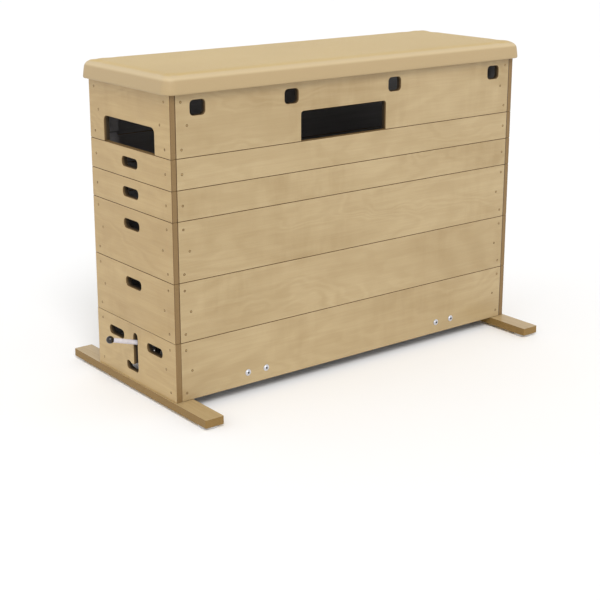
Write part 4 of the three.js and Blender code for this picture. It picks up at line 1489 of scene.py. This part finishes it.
@dataclass
class Lid(Assembly):
    """Plywood board, and the leather-covered foam pad on it."""

    corner: float = 0.040
    top_round: float = 0.024
    bottom_round: float = 0.005
    start_drop: float = 0.0045
    cell: float = 0.016
    weld: float = 0.0008
    cap: float = 0.0045
    pressure: float = 4.0
    frames: int = 20
    hem: float = 0.0225
    hem_thickness: float = 0.0026
    board_play: float = 0.0006
    board_corner: float = 0.0362
    board_edge: float = 0.002
    staple_pitch: float = 0.045
    staple_margin: float = 0.06
    staple_size: Triple = (0.0105, 0.0013, 0.0007)

    def pad_mesh(self, cover: Extent, board: Extent) -> BMesh:
        """Makes the pad before it is puffed up: rounded all over, with a pocket for the board.

        Args:
            cover: Where the cover is.
            board: Where the board is.

        Returns:
            The closed mesh.
        """
        low, high = cover.low, cover.high
        drop = Vector((0, 0, self.start_drop))
        bm = cube(cover.size - drop, cover.centre - drop / 2)
        uprights = [e for e in bm.edges if abs(e.verts[0].co.z - e.verts[1].co.z) > 0.01]
        bevel(bm, uprights, self.corner, 8)
        for flat, radius, segments in (
            (high.z - self.start_drop, self.top_round, 5), (low.z, self.bottom_round, 2)
        ):
            rim = [e for e in bm.edges if all(abs(v.co.z - flat) < 1e-5 for v in e.verts)]
            bevel(bm, rim, radius, segments)
        self.sink_pocket(bm, cover, board)
        for axis in (0, 1):
            count = round(cover.size[axis] / self.cell)
            normal = Vector((axis == 0, axis == 1, 0))
            for step in range(1, count):
                at = normal * (low[axis] + cover.size[axis] * step / count)
                geom = bm.verts[:] + bm.edges[:] + bm.faces[:]
                bmesh.ops.bisect_plane(bm, geom=geom, plane_co=at, plane_no=normal, dist=MERGE)
        bm = in_order(bm)
        bmesh.ops.remove_doubles(bm, verts=bm.verts, dist=self.weld)
        bmesh.ops.recalc_face_normals(bm, faces=bm.faces)
        return in_order(bm)

    def sink_pocket(self, bm: BMesh, cover: Extent, board: Extent) -> None:
        """Sinks the board's pocket into the pad's lower face, inside the hem.

        Args:
            bm: The pad.
            cover: Where the cover is.
            board: Where the board is.
        """
        base = min(bm.faces, key=lambda face: face.calc_center_median().z)
        bmesh.ops.inset_region(bm, faces=[base], thickness=self.hem - self.bottom_round)
        centre, arc_middle = cover.centre, cover.size / 2 - Vector((self.corner, self.corner, 0))
        wall = cover.high.x - board.high.x - self.board_play
        spread = (self.corner - wall) / (self.corner - self.hem)
        pocket = board.high.z + self.board_play - cover.low.z - self.hem_thickness
        for rise, growth in ((self.hem_thickness, 1.0), (0.0, spread), (pocket, 1.0)):
            grown = bmesh.ops.extrude_face_region(bm, geom=[base])["geom"]
            bmesh.ops.delete(bm, geom=[base], context="FACES_ONLY")
            base = only(grown, BMFace)[0]
            bmesh.ops.translate(bm, vec=(0, 0, rise), verts=base.verts)
            for vert in base.verts:
                for axis in (0, 1):
                    middle = centre[axis] + math.copysign(arc_middle[axis], vert.co[axis] - centre[axis])
                    vert.co[axis] = middle + (vert.co[axis] - middle) * growth

    def puff_up(self, pad: bpy.types.Object, board_top: float) -> None:
        """Puffs the pad up by a cloth simulation, held along the board, with the swelling capped.

        Args:
            pad: The pad.
            board_top: Height below which the leather is held.
        """
        rest = [vert.co.copy() for vert in pad.data.vertices]
        held = pad.vertex_groups.new(name="held")
        held.add([i for i, co in enumerate(rest) if co.z < board_top], 1.0, "REPLACE")
        cloth = pad.modifiers.new("puff", "CLOTH")
        cloth.settings.use_pressure = True
        cloth.settings.uniform_pressure_force = self.pressure
        cloth.settings.vertex_group_mass = held.name
        cloth.settings.effector_weights.gravity = 0.0
        cloth.settings.quality = 5
        cloth.point_cache.frame_start, cloth.point_cache.frame_end = 1, self.frames
        scene = bpy.context.scene
        for number in range(1, self.frames + 1):
            scene.frame_set(number)
        puffed = pad.evaluated_get(bpy.context.evaluated_depsgraph_get())
        moved = [vert.co.copy() for vert in puffed.data.vertices]
        pad.modifiers.remove(cloth)
        for vert, before, after in zip(pad.data.vertices, rest, moved):
            step = after - before
            if step.length > self.cap:
                step *= self.cap / step.length
            vert.co = before + step
        scene.frame_set(1)

    def crown(self, pad: bpy.types.Object, cover: Extent) -> None:
        """Raises the pad's top in a low crown, as a stand-in for the simulation.

        Args:
            pad: The pad.
            cover: Where the cover is.
        """
        for vert in pad.data.vertices:
            if vert.co.z > cover.centre.z:
                along, across, _ = (2 * (vert.co - cover.centre)[i] / cover.size[i] for i in range(3))
                vert.co.z += self.start_drop * (1 - across**2) * (1 - along**6)

    def build(self) -> None:
        """Makes the pad, dresses the board and staples the hem."""
        cover, board = Extent.of("lid_cover"), Extent.of("lid_board")
        pad = self.shop.piece(
            "leather_pad", self.pad_mesh(cover, board), LEATHER, "top", "lid_cover", "lid_foam",
            angle=180.0, weighted=False,
        )
        self.puff_up(pad, board.high.z + 0.002)
        finer = pad.modifiers.new("finer", "SUBSURF")
        finer.levels = finer.render_levels = 1
        size = board.size
        outline = Loop.rectangle((0, 0), size.xy, self.board_corner)
        bm = cut_sheet(outline, [], size.z, self.board_edge, 8, 2)
        move = Facing.LEVEL.at(board.foot)
        self.shop.board("lid_plywood", bm, size.z, move, BOARD_PLY, "top", "lid_board")
        self.staples(cover)

    def staples(self, cover: Extent) -> None:
        """Makes the staples that hold the hem under the board.

        Args:
            cover: Where the cover is.
        """
        inset, parts = self.hem * 0.55, []
        for axis in (0, 1):
            other = 1 - axis
            start, stop = cover.low[axis] + self.staple_margin, cover.high[axis] - self.staple_margin
            count = round((stop - start) / self.staple_pitch)
            for step in range(count + 1):
                for edge in (cover.low[other] + inset, cover.high[other] - inset):
                    at = Vector((edge, edge, cover.low.z - 0.0002))
                    at[axis] = start + (stop - start) * step / count
                    bm = cube(self.staple_size)
                    soften(bm, 0.0002, 1)
                    turn = Matrix.Rotation(QUARTER * axis + self.shop.rng.uniform(-0.12, 0.12), 4, "Z")
                    parts.append(placed(bm, Matrix.Translation(at), turn))
        self.shop.piece("hem_staples", gathered(parts), STEEL, "top")


# The castor gear

HEAD_PROFILE = (
    (0, 0), (0.0108, 0), (0.0112, 0.0004), (0.0112, 0.0011), (0.0106, 0.0015), (0.0086, 0.0017),
    (0.0080, 0.0026), (0.0066, 0.0036), (0.0046, 0.0041), (0.0040, 0.0040), (0.0036, 0.0034),
    (0.0034, 0.0012), (0, 0.0010),
)
SOCKET_PROFILE = (
    (0, 0.0011), (0.0039, 0.0014), (0.0042, 0.0038), (0.0036, 0.0038), (0.0032, 0.0014), (0, 0.0014),
)
BOSS_PROFILE = (
    (0.0103, 0.0002), (0.0172, 0.0002), (0.0170, 0.0110), (0.0158, 0.0120), (0.0115, 0.0120),
    (0.0103, 0.0112), (0.0103, 0.0002),
)
RACE_PROFILE = (
    (0.006, 0), (0.0222, 0), (0.0229, 0.0007), (0.0229, 0.0028), (0.0222, 0.0034), (0.0195, 0.0040),
    (0.0188, 0.0049), (0.0195, 0.0058), (0.0222, 0.0064), (0.0229, 0.0070), (0.0229, 0.0090),
    (0.0222, 0.0097), (0, 0.0097),
)
WEB_PROFILE = (
    (0.0043, 0), (0.0120, 0), (0.0130, 0.001), (0.0136, 0.0035), (0.0235, 0.0040), (0.0248, 0.0010),
    (0.0274, 0.0006),
)


def mirrored(lower: Sequence[Point]) -> list[Point]:
    """Closes a profile from its part below zero height."""
    return [*lower, *((radius, -height) for radius, height in reversed(lower)), lower[0]]


@dataclass
class CastorGear(Assembly):
    """Two rocking shafts with castors, worked by a hand lever and joined by a link rod."""

    shaft_x: float = 0.43
    shaft_z: float = 0.079
    lift: float = math.radians(17)
    shaft_radius: float = 0.010
    shaft_half: float = 0.2294
    arm_spread: float = 0.145
    arm_length: float = 0.082
    arm_width: float = 0.050
    arm_bottom: float = 0.009
    arm_thickness: float = 0.008
    arm_heel: float = 0.020
    gusset: float = 0.006
    finger_length: float = 0.038
    finger_radius: float = 0.006
    finger_width: float = 0.007
    finger_place: float = 0.2040
    stop_x: float = 0.0059
    stop_z: float = 0.030
    stop_radius: float = 0.005
    crank_radius: float = 0.030
    crank_offset: float = 0.030
    crank_thickness: float = 0.008
    crank_root: float = 0.017
    crank_tip: float = 0.011
    hub_radius: float = 0.016
    hub_half: float = 0.017
    lever_length: float = 0.435
    lever_radius: float = 0.008
    knob_radius: float = 0.013
    knob_flat: float = 0.83
    pin_reach: float = 0.031
    pin_hole: float = 0.0043
    rod_radius: float = 0.006
    eye_width: float = 0.012
    eye_radius: float = 0.012
    wheel_radius: float = 0.0375
    wheel_width: float = 0.024
    wheel_drop: float = 0.0565
    tread_bend: float = 0.0075
    trail: float = 0.025
    fork_front: float = 0.014
    fork_back: float = -0.020
    leg_thickness: float = 0.003
    bridge_thickness: float = 0.0035
    plate_size: Point = (0.116, 0.056)
    plate_corner: float = 0.008
    plate_thickness: float = 0.005
    bore: float = 0.0103
    bolt_radius: float = 0.004
    bolt_nut: float = 0.0083
    bolt_spread: float = 0.0375
    weld: float = 0.0022
    wire: float = 0.00175
    coil: float = 0.01295
    coil_pitch: float = 0.0041
    coil_turns: int = 5
    spring_leg: float = 0.038
    spring_toe: float = 0.045

    def shaft_centre(self, end: End) -> Vector:
        """Middle of a shaft."""
        return self.layout.at(end.value * self.shaft_x, 0, self.shaft_z)

    def rocker(self, end: End) -> Matrix:
        """Placing of a shaft's own frame, in which its arms are level and point to -X."""
        around = Matrix.Rotation(math.pi if end is End.PLAIN_END else 0.0, 4, "Z")
        return Matrix.Translation(self.shaft_centre(end)) @ around @ Matrix.Rotation(self.lift, 4, "Y")

    def plate(
        self, loop: Loop, holes: Iterable[Loop], thickness: float, low: float, upright: bool = False,
        edge: float = 0.0007,
    ) -> BMesh:
        """Cuts a steel plate, level at a height or upright at a place along Y.

        Args:
            loop: Its outline, in X and Y if level, or X and Z if upright.
            holes: Its holes.
            thickness: Its thickness.
            low: Where its lower face is.
            upright: Whether it stands upright.
            edge: Rounding of its edges.

        Returns:
            The closed mesh.
        """
        move = Facing.FRONT.at(Vector((0, low, 0))) if upright else shift(z=low)
        return placed(cut_sheet(loop, holes, thickness, edge, 8, 2), move)

    def bead(self, along: float) -> BMesh:
        """Makes a weld bead round the shaft at a place along it."""
        ring = torus(self.shaft_radius - self.weld * 0.4, self.weld, 36)
        return placed(ring, shift(y=along), ALONG_Y)

    def finger_angle(self) -> float:
        """Angle of the stop fingers from upright, in the shaft's own frame.

        Returns:
            The angle at which a finger leans on its stop pin when the castors are up.
        """
        reach = self.finger_radius + self.stop_radius + self.layout.gap
        contact = math.asin(reach / math.hypot(self.stop_x, self.stop_z))
        return contact - math.atan2(self.stop_x, self.stop_z) + self.lift

    def arm(self, side: int) -> list[BMesh]:
        """Makes a castor arm with its gusset, its stop finger and its weld beads.

        Args:
            side: -1 or 1 for the side of the shaft's middle.

        Returns:
            The parts, in the shaft's own frame.
        """
        y, half = side * self.arm_spread, self.arm_width / 2
        nose, heel = ((-self.arm_length - half, half * 0.995), (self.arm_heel, 0.004))
        corners = ((nose, -1), (heel, -1), (heel, 1), (nose, 1))
        outline = Loop(tuple((x, y + sign * half, radius) for (x, radius), sign in corners))
        top, bottom = self.arm_bottom + 0.0005, self.arm_bottom - 0.0012
        gusset = ((-0.0085, -0.0075, 0.0), (-0.0085, top, 0.0), (-0.048, top, 0.0), (-0.048, bottom, 0.0))
        angle = self.finger_angle()
        tip = (-self.finger_length * math.sin(angle), self.finger_length * math.cos(angle))
        finger = Loop.bar((0, 0), self.finger_radius, tip, self.finger_radius)
        finger_low = min(side * self.finger_place, side * (self.finger_place + self.finger_width))
        hole = Loop.circle((-self.arm_length, y), 0.0063)
        return [
            self.plate(outline, [hole], self.arm_thickness, self.arm_bottom),
            self.plate(Loop(gusset), [], self.gusset, y - self.gusset / 2, True),
            self.plate(finger, [], self.finger_width, finger_low, True),
            self.bead(y - half),
            self.bead(y + half),
        ]

    def crank(self, end: End) -> list[BMesh]:
        """Makes a shaft's crank with its weld bead and its pin.

        Args:
            end: The shaft's end.

        Returns:
            The parts, in the shaft's own frame.
        """
        turn = self.lift / 2 + (math.pi if end is End.PLAIN_END else 0.0)
        x, z = -self.crank_radius * math.sin(turn), self.crank_radius * math.cos(turn)
        side, outer = -end.value, self.crank_offset + self.crank_thickness
        bar = Loop.bar((0, 0), self.crank_root, (x, z), self.crank_tip)
        pin = [
            placed(rod(radius, side * (outer + first), side * (outer + last)), shift(x, 0, z), ALONG_Y)
            for radius, first, last in ((0.005, -0.001, 0.0140), (0.0078, 0.0131, 0.0154))
        ]
        low = min(side * self.crank_offset, side * outer)
        bead = self.bead(side * (self.crank_offset - 0.0005))
        return [self.plate(bar, [], self.crank_thickness, low, True), bead, *pin]

    def shaft(self, end: End, body: str) -> None:
        """Makes a shaft with everything that is welded to it.

        Args:
            end: The shaft's end.
            body: The body that it rides on.
        """
        parts = [placed(rod(self.shaft_radius, -self.shaft_half, self.shaft_half, 0.001, 48), ALONG_Y)]
        parts += [*self.arm(-1), *self.arm(1), *self.crank(end)]
        if end is End.LEVER_END:
            parts.append(placed(rod(self.hub_radius, -self.hub_half, self.hub_half, 0.0012, 48), ALONG_Y))
            ear = Loop.bar((0, 0), 0.013, (-self.pin_reach, 0), 0.012)
            hole = Loop.circle((-self.pin_reach, 0), self.pin_hole)
            parts += [self.plate(ear, [hole], 0.006, low) for low in (0.0053, -0.0113)]
            parts += [self.bead(edge) for edge in (-self.hub_half, self.hub_half)]
        bm = placed(gathered(parts), self.rocker(end))
        self.shop.piece(f"welded_shaft_{end.label}", bm, STEEL, body, f"shaft_{end.label}")

    def lever(self) -> None:
        """Makes the hand lever, its pin and its knob."""
        place, body = self.rocker(End.LEVER_END), "lever_shaft"
        reach, knob = self.pin_reach, self.knob_radius
        bar = rod(self.lever_radius, reach + 0.019, self.lever_length - knob * 0.9, 0.0018, 48)
        tongue = Loop((
            (-reach - 0.030, -0.0115, 0.002), (-reach + 0.012, -0.0120, 0.0118),
            (-reach + 0.012, 0.0120, 0.0118), (-reach - 0.030, 0.0115, 0.002),
        ))
        blade = self.plate(tongue, [Loop.circle((-reach, 0), self.pin_hole)], 0.010, -0.005)
        bead = placed(torus(0.0074, 0.0018, 32), shift(-reach - 0.030), ALONG_X)
        bm = placed(gathered([placed(bar, AGAINST_X), blade, bead]), place)
        self.shop.piece("lever_bar", bm, LEVER_ZINC, body, "hand_lever")

        nut_low, nut_high = 0.0116, 0.0156
        pin = gathered([
            rod(self.bolt_radius, -0.012, 0.012, 0.0004, 24),
            rod(0.007, nut_low, nut_high, 0.0011),
            nut(0.0072, -nut_high, -nut_low),
        ])
        self.shop.piece("lever_pivot", placed(pin, place, shift(-reach)), SPRING_STEEL, body, "lever_pin")

        steps, neck = 22, math.asin(self.knob_flat)
        angles = (-neck + (QUARTER + neck) * step / steps for step in range(steps))
        ball = [(knob * math.cos(angle), knob * math.sin(angle)) for angle in angles]
        bm = turned([(0, knob * -0.80), (knob * 0.36, -knob * self.knob_flat), *ball, (0, knob)], 48)
        placed(bm, place, shift(-self.lever_length), AGAINST_X)
        self.shop.piece("ball_knob", bm, BLACK_KNOB, body, "lever_knob")

    def link(self) -> None:
        """Makes the link rod with its two eyes."""
        throw, rise = (self.crank_radius * turn(self.lift / 2) for turn in (math.sin, math.cos))
        run, fall = 2 * self.shaft_x, 2 * rise
        length, half = math.hypot(run, fall), self.eye_width / 2
        parts = [placed(rod(self.rod_radius, 0.011, length - 0.011), ALONG_X)]
        for x, bore in ((0.0, 0.0053), (length, 0.0063)):
            loops = Loop.circle((x, 0), self.eye_radius), [Loop.circle((x, 0), bore)]
            parts.append(self.plate(*loops, self.eye_width, -half, True, 0.0009))
        parts += [placed(nut(0.0098, 0, 0.007), shift(x), ALONG_X) for x in (0.016, length - 0.023)]
        y = self.crank_offset + self.crank_thickness + 0.0005 + half
        move = Matrix.Translation(self.layout.at(throw - self.shaft_x, y, self.shaft_z + rise))
        turn = Matrix.Rotation(math.atan2(fall, run), 4, "Y")
        self.shop.piece("link_bar", placed(gathered(parts), move, turn), STEEL, "link", "link_rod")

    def castor(self, end: End, side: Side) -> None:
        """Makes one castor: a fork with its race, stem and axle, and a wheel.

        Args:
            end: The end that it is at.
            side: The side that it is at.
        """
        own_side = -end.value * side.value
        place = self.rocker(end) @ shift(-self.arm_length, own_side * self.arm_spread)
        axle = shift(-self.trail, 0, -self.wheel_drop)
        name = f"{end.label}_{side.label}"
        bm = placed(gathered([*self.stem(), *self.fork(axle)]), place)
        self.shop.piece(f"fork_{name}", bm, STEEL, f"castor_{name}", f"castor_fork_{name}")

        half, bend, body = self.wheel_width / 2, self.tread_bend, f"wheel_{name}"
        tread = [(0.0275, -half + 0.001), (0.0285, -half)]
        for angle in (QUARTER * step / 6 for step in range(7)):
            height = half - bend + bend * math.cos(angle)
            tread.append((self.wheel_radius - bend + bend * math.sin(angle), -height))
        tyre = placed(turned(mirrored(tread), 64), place, axle, ALONG_Y)
        self.shop.piece(f"tyre_{name}", tyre, TYRE_RUBBER, body, f"castor_wheel_{name}")
        web = [(radius, depth - half) for radius, depth in WEB_PROFILE]
        hub = placed(turned(mirrored(web), 56), place, axle, ALONG_Y)
        self.shop.piece(f"hub_{name}", hub, WHEEL_HUB, body)

    def stem(self) -> list[BMesh]:
        """Makes a castor's stem and race, with the washer and nut on the arm.

        Returns:
            The parts, with the stem on the Z axis.
        """
        race_top = self.arm_bottom - self.layout.gap
        arm_top = self.arm_bottom + self.arm_thickness
        top = arm_top + 0.0113
        race = ((radius, race_top - depth) for radius, depth in RACE_PROFILE)
        return [
            turned([(0, top), (0.0052, top), (0.006, top - 0.0008), *race], 56),
            rod(0.0105, arm_top + 0.0003, arm_top + 0.0016, 0.0003),
            nut(0.0108, arm_top + 0.0016, arm_top + 0.0083),
        ]

    def fork(self, axle: Matrix) -> list[BMesh]:
        """Makes a castor's fork with its axle.

        Args:
            axle: Where the axle is.

        Returns:
            The parts, with the stem on the Z axis.
        """
        race_low = self.arm_bottom - self.layout.gap - RACE_PROFILE[-1][1]
        rim = self.wheel_width / 2
        inner, outer = rim + 0.002, rim + 0.002 + self.leg_thickness
        front, back, trail, drop = self.fork_front, self.fork_back, self.trail, self.wheel_drop
        bridge = Loop.rectangle(((front + back) / 2, 0), (front - back, 2 * outer - 0.0008), 0.003)
        leg = Loop((
            (front, race_low, 0.0), (back, race_low, 0.0), (back - 0.003, race_low - 0.009, 0.006),
            (-trail - 0.011, -drop - 0.011, 0.0106), (-trail + 0.011, -drop - 0.011, 0.0106),
            (-trail + 0.0125, -drop + 0.006, 0.010), (front, race_low - 0.012, 0.008),
        ))
        plates = [self.plate(bridge, [], self.bridge_thickness, race_low - 0.003)]
        plates += [self.plate(leg, [], self.leg_thickness, low, True, 0.0008) for low in (-outer, inner)]
        on_axle = [rod(self.bolt_radius, -outer - 0.0005, outer + 0.0005, 0.0003, 24)]
        for sign in (-1, 1):
            on_axle += [
                nut(0.0079, sign * outer, sign * (outer + 0.0038)),
                rod(0.0068, sign * (inner + 0.0002), sign * (rim + 0.0003), 0.0002, 24),
            ]
        return [*plates, *(placed(part, axle, ALONG_Y) for part in on_axle)]

    def bearing(self, end: End, side: Side) -> None:
        """Makes one bearing plate with its boss, stop pin and bolts.

        Args:
            end: The end that it is at.
            side: The side that it is at.
        """
        thickness, outside = self.plate_thickness, self.layout.half[1]
        face = self.layout.inner_half[1] - thickness
        outline = Loop.rectangle((0, 0), self.plate_size, self.plate_corner)
        bore = Loop.circle((0, 0), self.bore)
        boss = turned(((radius, depth - face) for radius, depth in BOSS_PROFILE), 48)
        stop = rod(self.stop_radius, face - 0.031, face + 0.001, 0.0008)
        parts = [
            self.plate(outline, [bore], thickness, face, True, 0.0009),
            placed(boss, Matrix.Rotation(QUARTER, 4, "X")),
            placed(stop, shift(-end.value * self.stop_x, 0, self.stop_z), ALONG_Y),
        ]
        # Painted shade: a dark lining in each bolt's hex socket stands for the shadow in the recess.
        sockets = []
        for across in (-self.bolt_spread, self.bolt_spread):
            head, socket = (
                turned(((radius, outside + height) for radius, height in profile), steps)
                for profile, steps in ((HEAD_PROFILE, 40), (SOCKET_PROFILE, 24))
            )
            bolt = [
                nut(self.bolt_nut, face - 0.0066, face - 0.0008),
                rod(0.0095, face - 0.0012, face + 0.0002, 0.0003),
                rod(self.bolt_radius, face - 0.009, outside, 0.0006, 24),
                head,
            ]
            parts += [placed(part, shift(across), ALONG_Y) for part in bolt]
            sockets.append(placed(socket, shift(across), ALONG_Y))
        mirror = Matrix.Scale(side.value, 4, (0, 1, 0))
        move = Matrix.Translation(self.shaft_centre(end))
        name = f"{end.label}_{side.label}"
        bm = placed(gathered(parts), move, mirror)
        self.shop.piece(f"bearing_plate_{name}", bm, STEEL, "base", f"bearing_{name}")
        bm = placed(gathered(sockets), move, mirror)
        self.shop.piece(f"bolt_sockets_{name}", bm, SOCKET_SHADE, "base")

    def spring(self, side: Side) -> None:
        """Makes one torsion spring round the lever shaft.

        Args:
            side: The side that it is at.
        """
        wire, coil = self.wire, self.coil
        toe_x, toe_z = -self.spring_toe, self.arm_bottom - self.layout.gap - wire
        start = math.atan2(toe_z, toe_x) + math.acos(coil / math.hypot(toe_x, toe_z)) - self.lift
        sweep = TURN * (self.coil_turns + 1) - start
        steps, advance = round(sweep / TURN * 28), self.coil_pitch * sweep / TURN
        first_y = self.arm_spread + self.arm_width / 2 + 0.003 + wire
        bm = bmesh.new()
        ring = bmesh.ops.create_circle(bm, cap_ends=False, segments=10, radius=wire)["verts"]
        upright = shift(coil, first_y) @ Matrix.Rotation(math.pi, 4, "X")
        bmesh.ops.transform(bm, matrix=Matrix.Rotation(-start, 4, "Y") @ upright, verts=ring)
        edges = ring_edges(ring)
        spun = bmesh.ops.spin(
            bm, geom=ring + edges, cent=(0, 0, 0), axis=(0, -1, 0), angle=sweep, steps=steps,
            dvec=(0, advance / steps, 0), use_merge=False, use_duplicate=False,
        )["geom_last"]
        leg_end = self.extend(bm, only(spun, BMEdge), Vector((0, 0, self.spring_leg)))
        bmesh.ops.contextual_create(bm, geom=leg_end)
        rest_toe = Matrix.Rotation(self.lift, 3, "Y") @ Vector((toe_x, 0, toe_z))
        leg = rest_toe - Vector((coil * math.cos(start), 0, coil * math.sin(start)))
        bend = leg.normalized() * 0.004
        toe = self.extend(bm, edges, leg - bend)
        toe = self.extend(bm, toe, bend + Vector((0, -0.003, 0)), 50.0)
        toe = self.extend(bm, toe, Vector((0, -0.013, 0)), 40.0)
        bmesh.ops.contextual_create(bm, geom=toe)
        bmesh.ops.remove_doubles(bm, verts=bm.verts, dist=MERGE)
        bmesh.ops.recalc_face_normals(bm, faces=bm.faces)
        centre = self.shaft_centre(End.LEVER_END)
        placed(bm, Matrix.Translation(centre), Matrix.Scale(side.value, 4, (0, 1, 0)))
        spring = self.shop.piece(
            f"torsion_spring_{side.label}", bm, SPRING_STEEL, None, f"return_spring_{side.label}",
            angle=180.0, weighted=False,
        )
        far, near = (
            (centre.x, side.value * y, centre.z) for y in (first_y + advance - 0.001, first_y + 0.001)
        )
        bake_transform(spring)

    def extend(self, bm: BMesh, ring: Sequence[BMEdge], move: Vector, bend: float = 0.0) -> list[BMEdge]:
        """Grows the open end of a wire.

        Args:
            bm: The wire's mesh.
            ring: The end's ring of edges.
            move: How far the end goes.
            bend: Turn of the new ring in degrees, towards the way it goes.

        Returns:
            The new ring of edges.
        """
        verts, edges = grow(bm, ring)
        bmesh.ops.translate(bm, vec=move, verts=verts)
        if bend:
            middle = sum((vert.co for vert in verts), Vector()) / len(verts)
            normal = (verts[0].co - middle).cross(verts[len(verts) // 3].co - middle).normalized()
            if normal.dot(move) < 0:
                normal.negate()
            turn = Matrix.Rotation(math.radians(bend), 3, normal.cross(Vector((0, -1, 0))))
            bmesh.ops.rotate(bm, cent=middle, matrix=turn, verts=verts)
        return edges

    def build(self) -> None:
        """Makes the whole gear."""
        for end, body in zip(End, ("lever_shaft", "plain_shaft")):
            self.shaft(end, body)
            for side in Side:
                self.castor(end, side)
                self.bearing(end, side)
        self.lever()
        self.link()
        for side in Side:
            self.spring(side)


# Floor, light and camera


@dataclass
class Studio:
    """A pale floor, soft light and the photograph's point of view."""

    eye: Triple = (-2.8134, -3.6165, 1.6430)
    heading: float = 0.6591
    tilt: float = 0.2619
    focal_pixels: float = 1311.7
    raised_pixels: float = 60.0
    image_pixels: float = 600.0
    sensor: float = 36.0

    def floor(self) -> None:
        """Makes the floor."""
        bm = bmesh.new()
        bmesh.ops.create_grid(bm, x_segments=2, y_segments=2, size=30)
        mesh = bpy.data.meshes.new("studio_floor")
        bm.to_mesh(mesh)
        bm.free()
        surface = Surface("studio_floor")
        tone = surface.noise(surface.place, 0.8, 2.0, 0.5)
        colour = surface.mix(tone, (0.96, 0.96, 0.96, 1), (0.94, 0.94, 0.94, 1))
        inputs = {"Base Color": colour, "Roughness": 0.9, "Specular IOR Level": 0.1}
        surface.feed(surface.shader, inputs)
        mesh.materials.append(surface.material)
        linked(bpy.data.objects.new("studio_floor", mesh))

    def light(self, name: str, kind: str, place: Triple, aim: Vector, **settings: object) -> None:
        """Adds a light.

        Args:
            name: The light's name.
            kind: Its type.
            place: Where it is.
            aim: The way that it points.
            **settings: Its properties.
        """
        data = bpy.data.lights.new(name, kind)
        for key, value in settings.items():
            setattr(data, key, value)
        lamp = linked(bpy.data.objects.new(name, data))
        lamp.location = place
        lamp.rotation_euler = aim.to_track_quat("-Z", "Y").to_euler()

    def lamp(self, name: str, place: Triple, target: Triple, size: float, power: float) -> None:
        """Adds a square soft lamp.

        Args:
            name: The lamp's name.
            place: Where it hangs.
            target: What it points at.
            size: Length of its side.
            power: Its power in watts.
        """
        aim = Vector(target) - Vector(place)
        self.light(name, "AREA", place, aim, shape="SQUARE", size=size, energy=power)

    def dome(self) -> bpy.types.World:
        """Makes a white studio dome that is dimmer overhead than at the horizon.

        Returns:
            The world.
        """
        world = bpy.data.worlds.new("studio")
        world.use_nodes = True
        graph = Graph(world.node_tree)
        direction = graph.wire("TexCoord", output="Generated")
        height = graph.wire("SeparateXYZ", {"Vector": direction}, "Z")
        strength = graph.ramp(height, 0.3, 0.6, 1.04, 0.6)
        graph.feed(world.node_tree.nodes["Background"], {"Color": (1, 1, 1, 1), "Strength": strength})
        return world

    def build(self) -> None:
        """Makes the floor, the lights, the surroundings and the camera."""
        self.floor()
        overhead = {"angle": math.radians(26), "energy": 1.75}
        self.light("overhead", "SUN", (0, 0, 0), Vector((0.35, 0.62, -0.7)), **overhead)
        self.lamp("fill", (3.4, -3.6, 2.4), (0, 0, 0.6), 3.5, 6)
        self.lamp("side", (-4.4, 0.6, 2.6), (0, 0, 0.5), 2.6, 14)
        scene = bpy.context.scene
        scene.world = self.dome()
        scene.view_settings.view_transform = "Standard"
        data = bpy.data.cameras.new("camera")
        data.sensor_width = self.sensor
        data.lens = self.sensor * self.focal_pixels / self.image_pixels
        data.shift_y = -self.raised_pixels / self.image_pixels
        data.clip_start, data.clip_end = 0.05, 100
        camera = linked(bpy.data.objects.new("camera", data))
        camera.location = self.eye
        camera.rotation_euler = (QUARTER - self.tilt, 0, -self.heading)
        scene.camera = camera


def main() -> None:
    """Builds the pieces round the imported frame, and the studio round them."""
    logging.basicConfig(level=logging.INFO, format="%(name)s: %(message)s")
    Studio().build()
    layout = Layout(Extent.of("lid_cover").centre.x)
    shop = Workshop()
    for assembly in (BoxSections, Skids, Lid, CastorGear):
        assembly(layout, shop).build()
    log.info("%d pieces", shop.count)


if __name__ == "__main__":
    main()
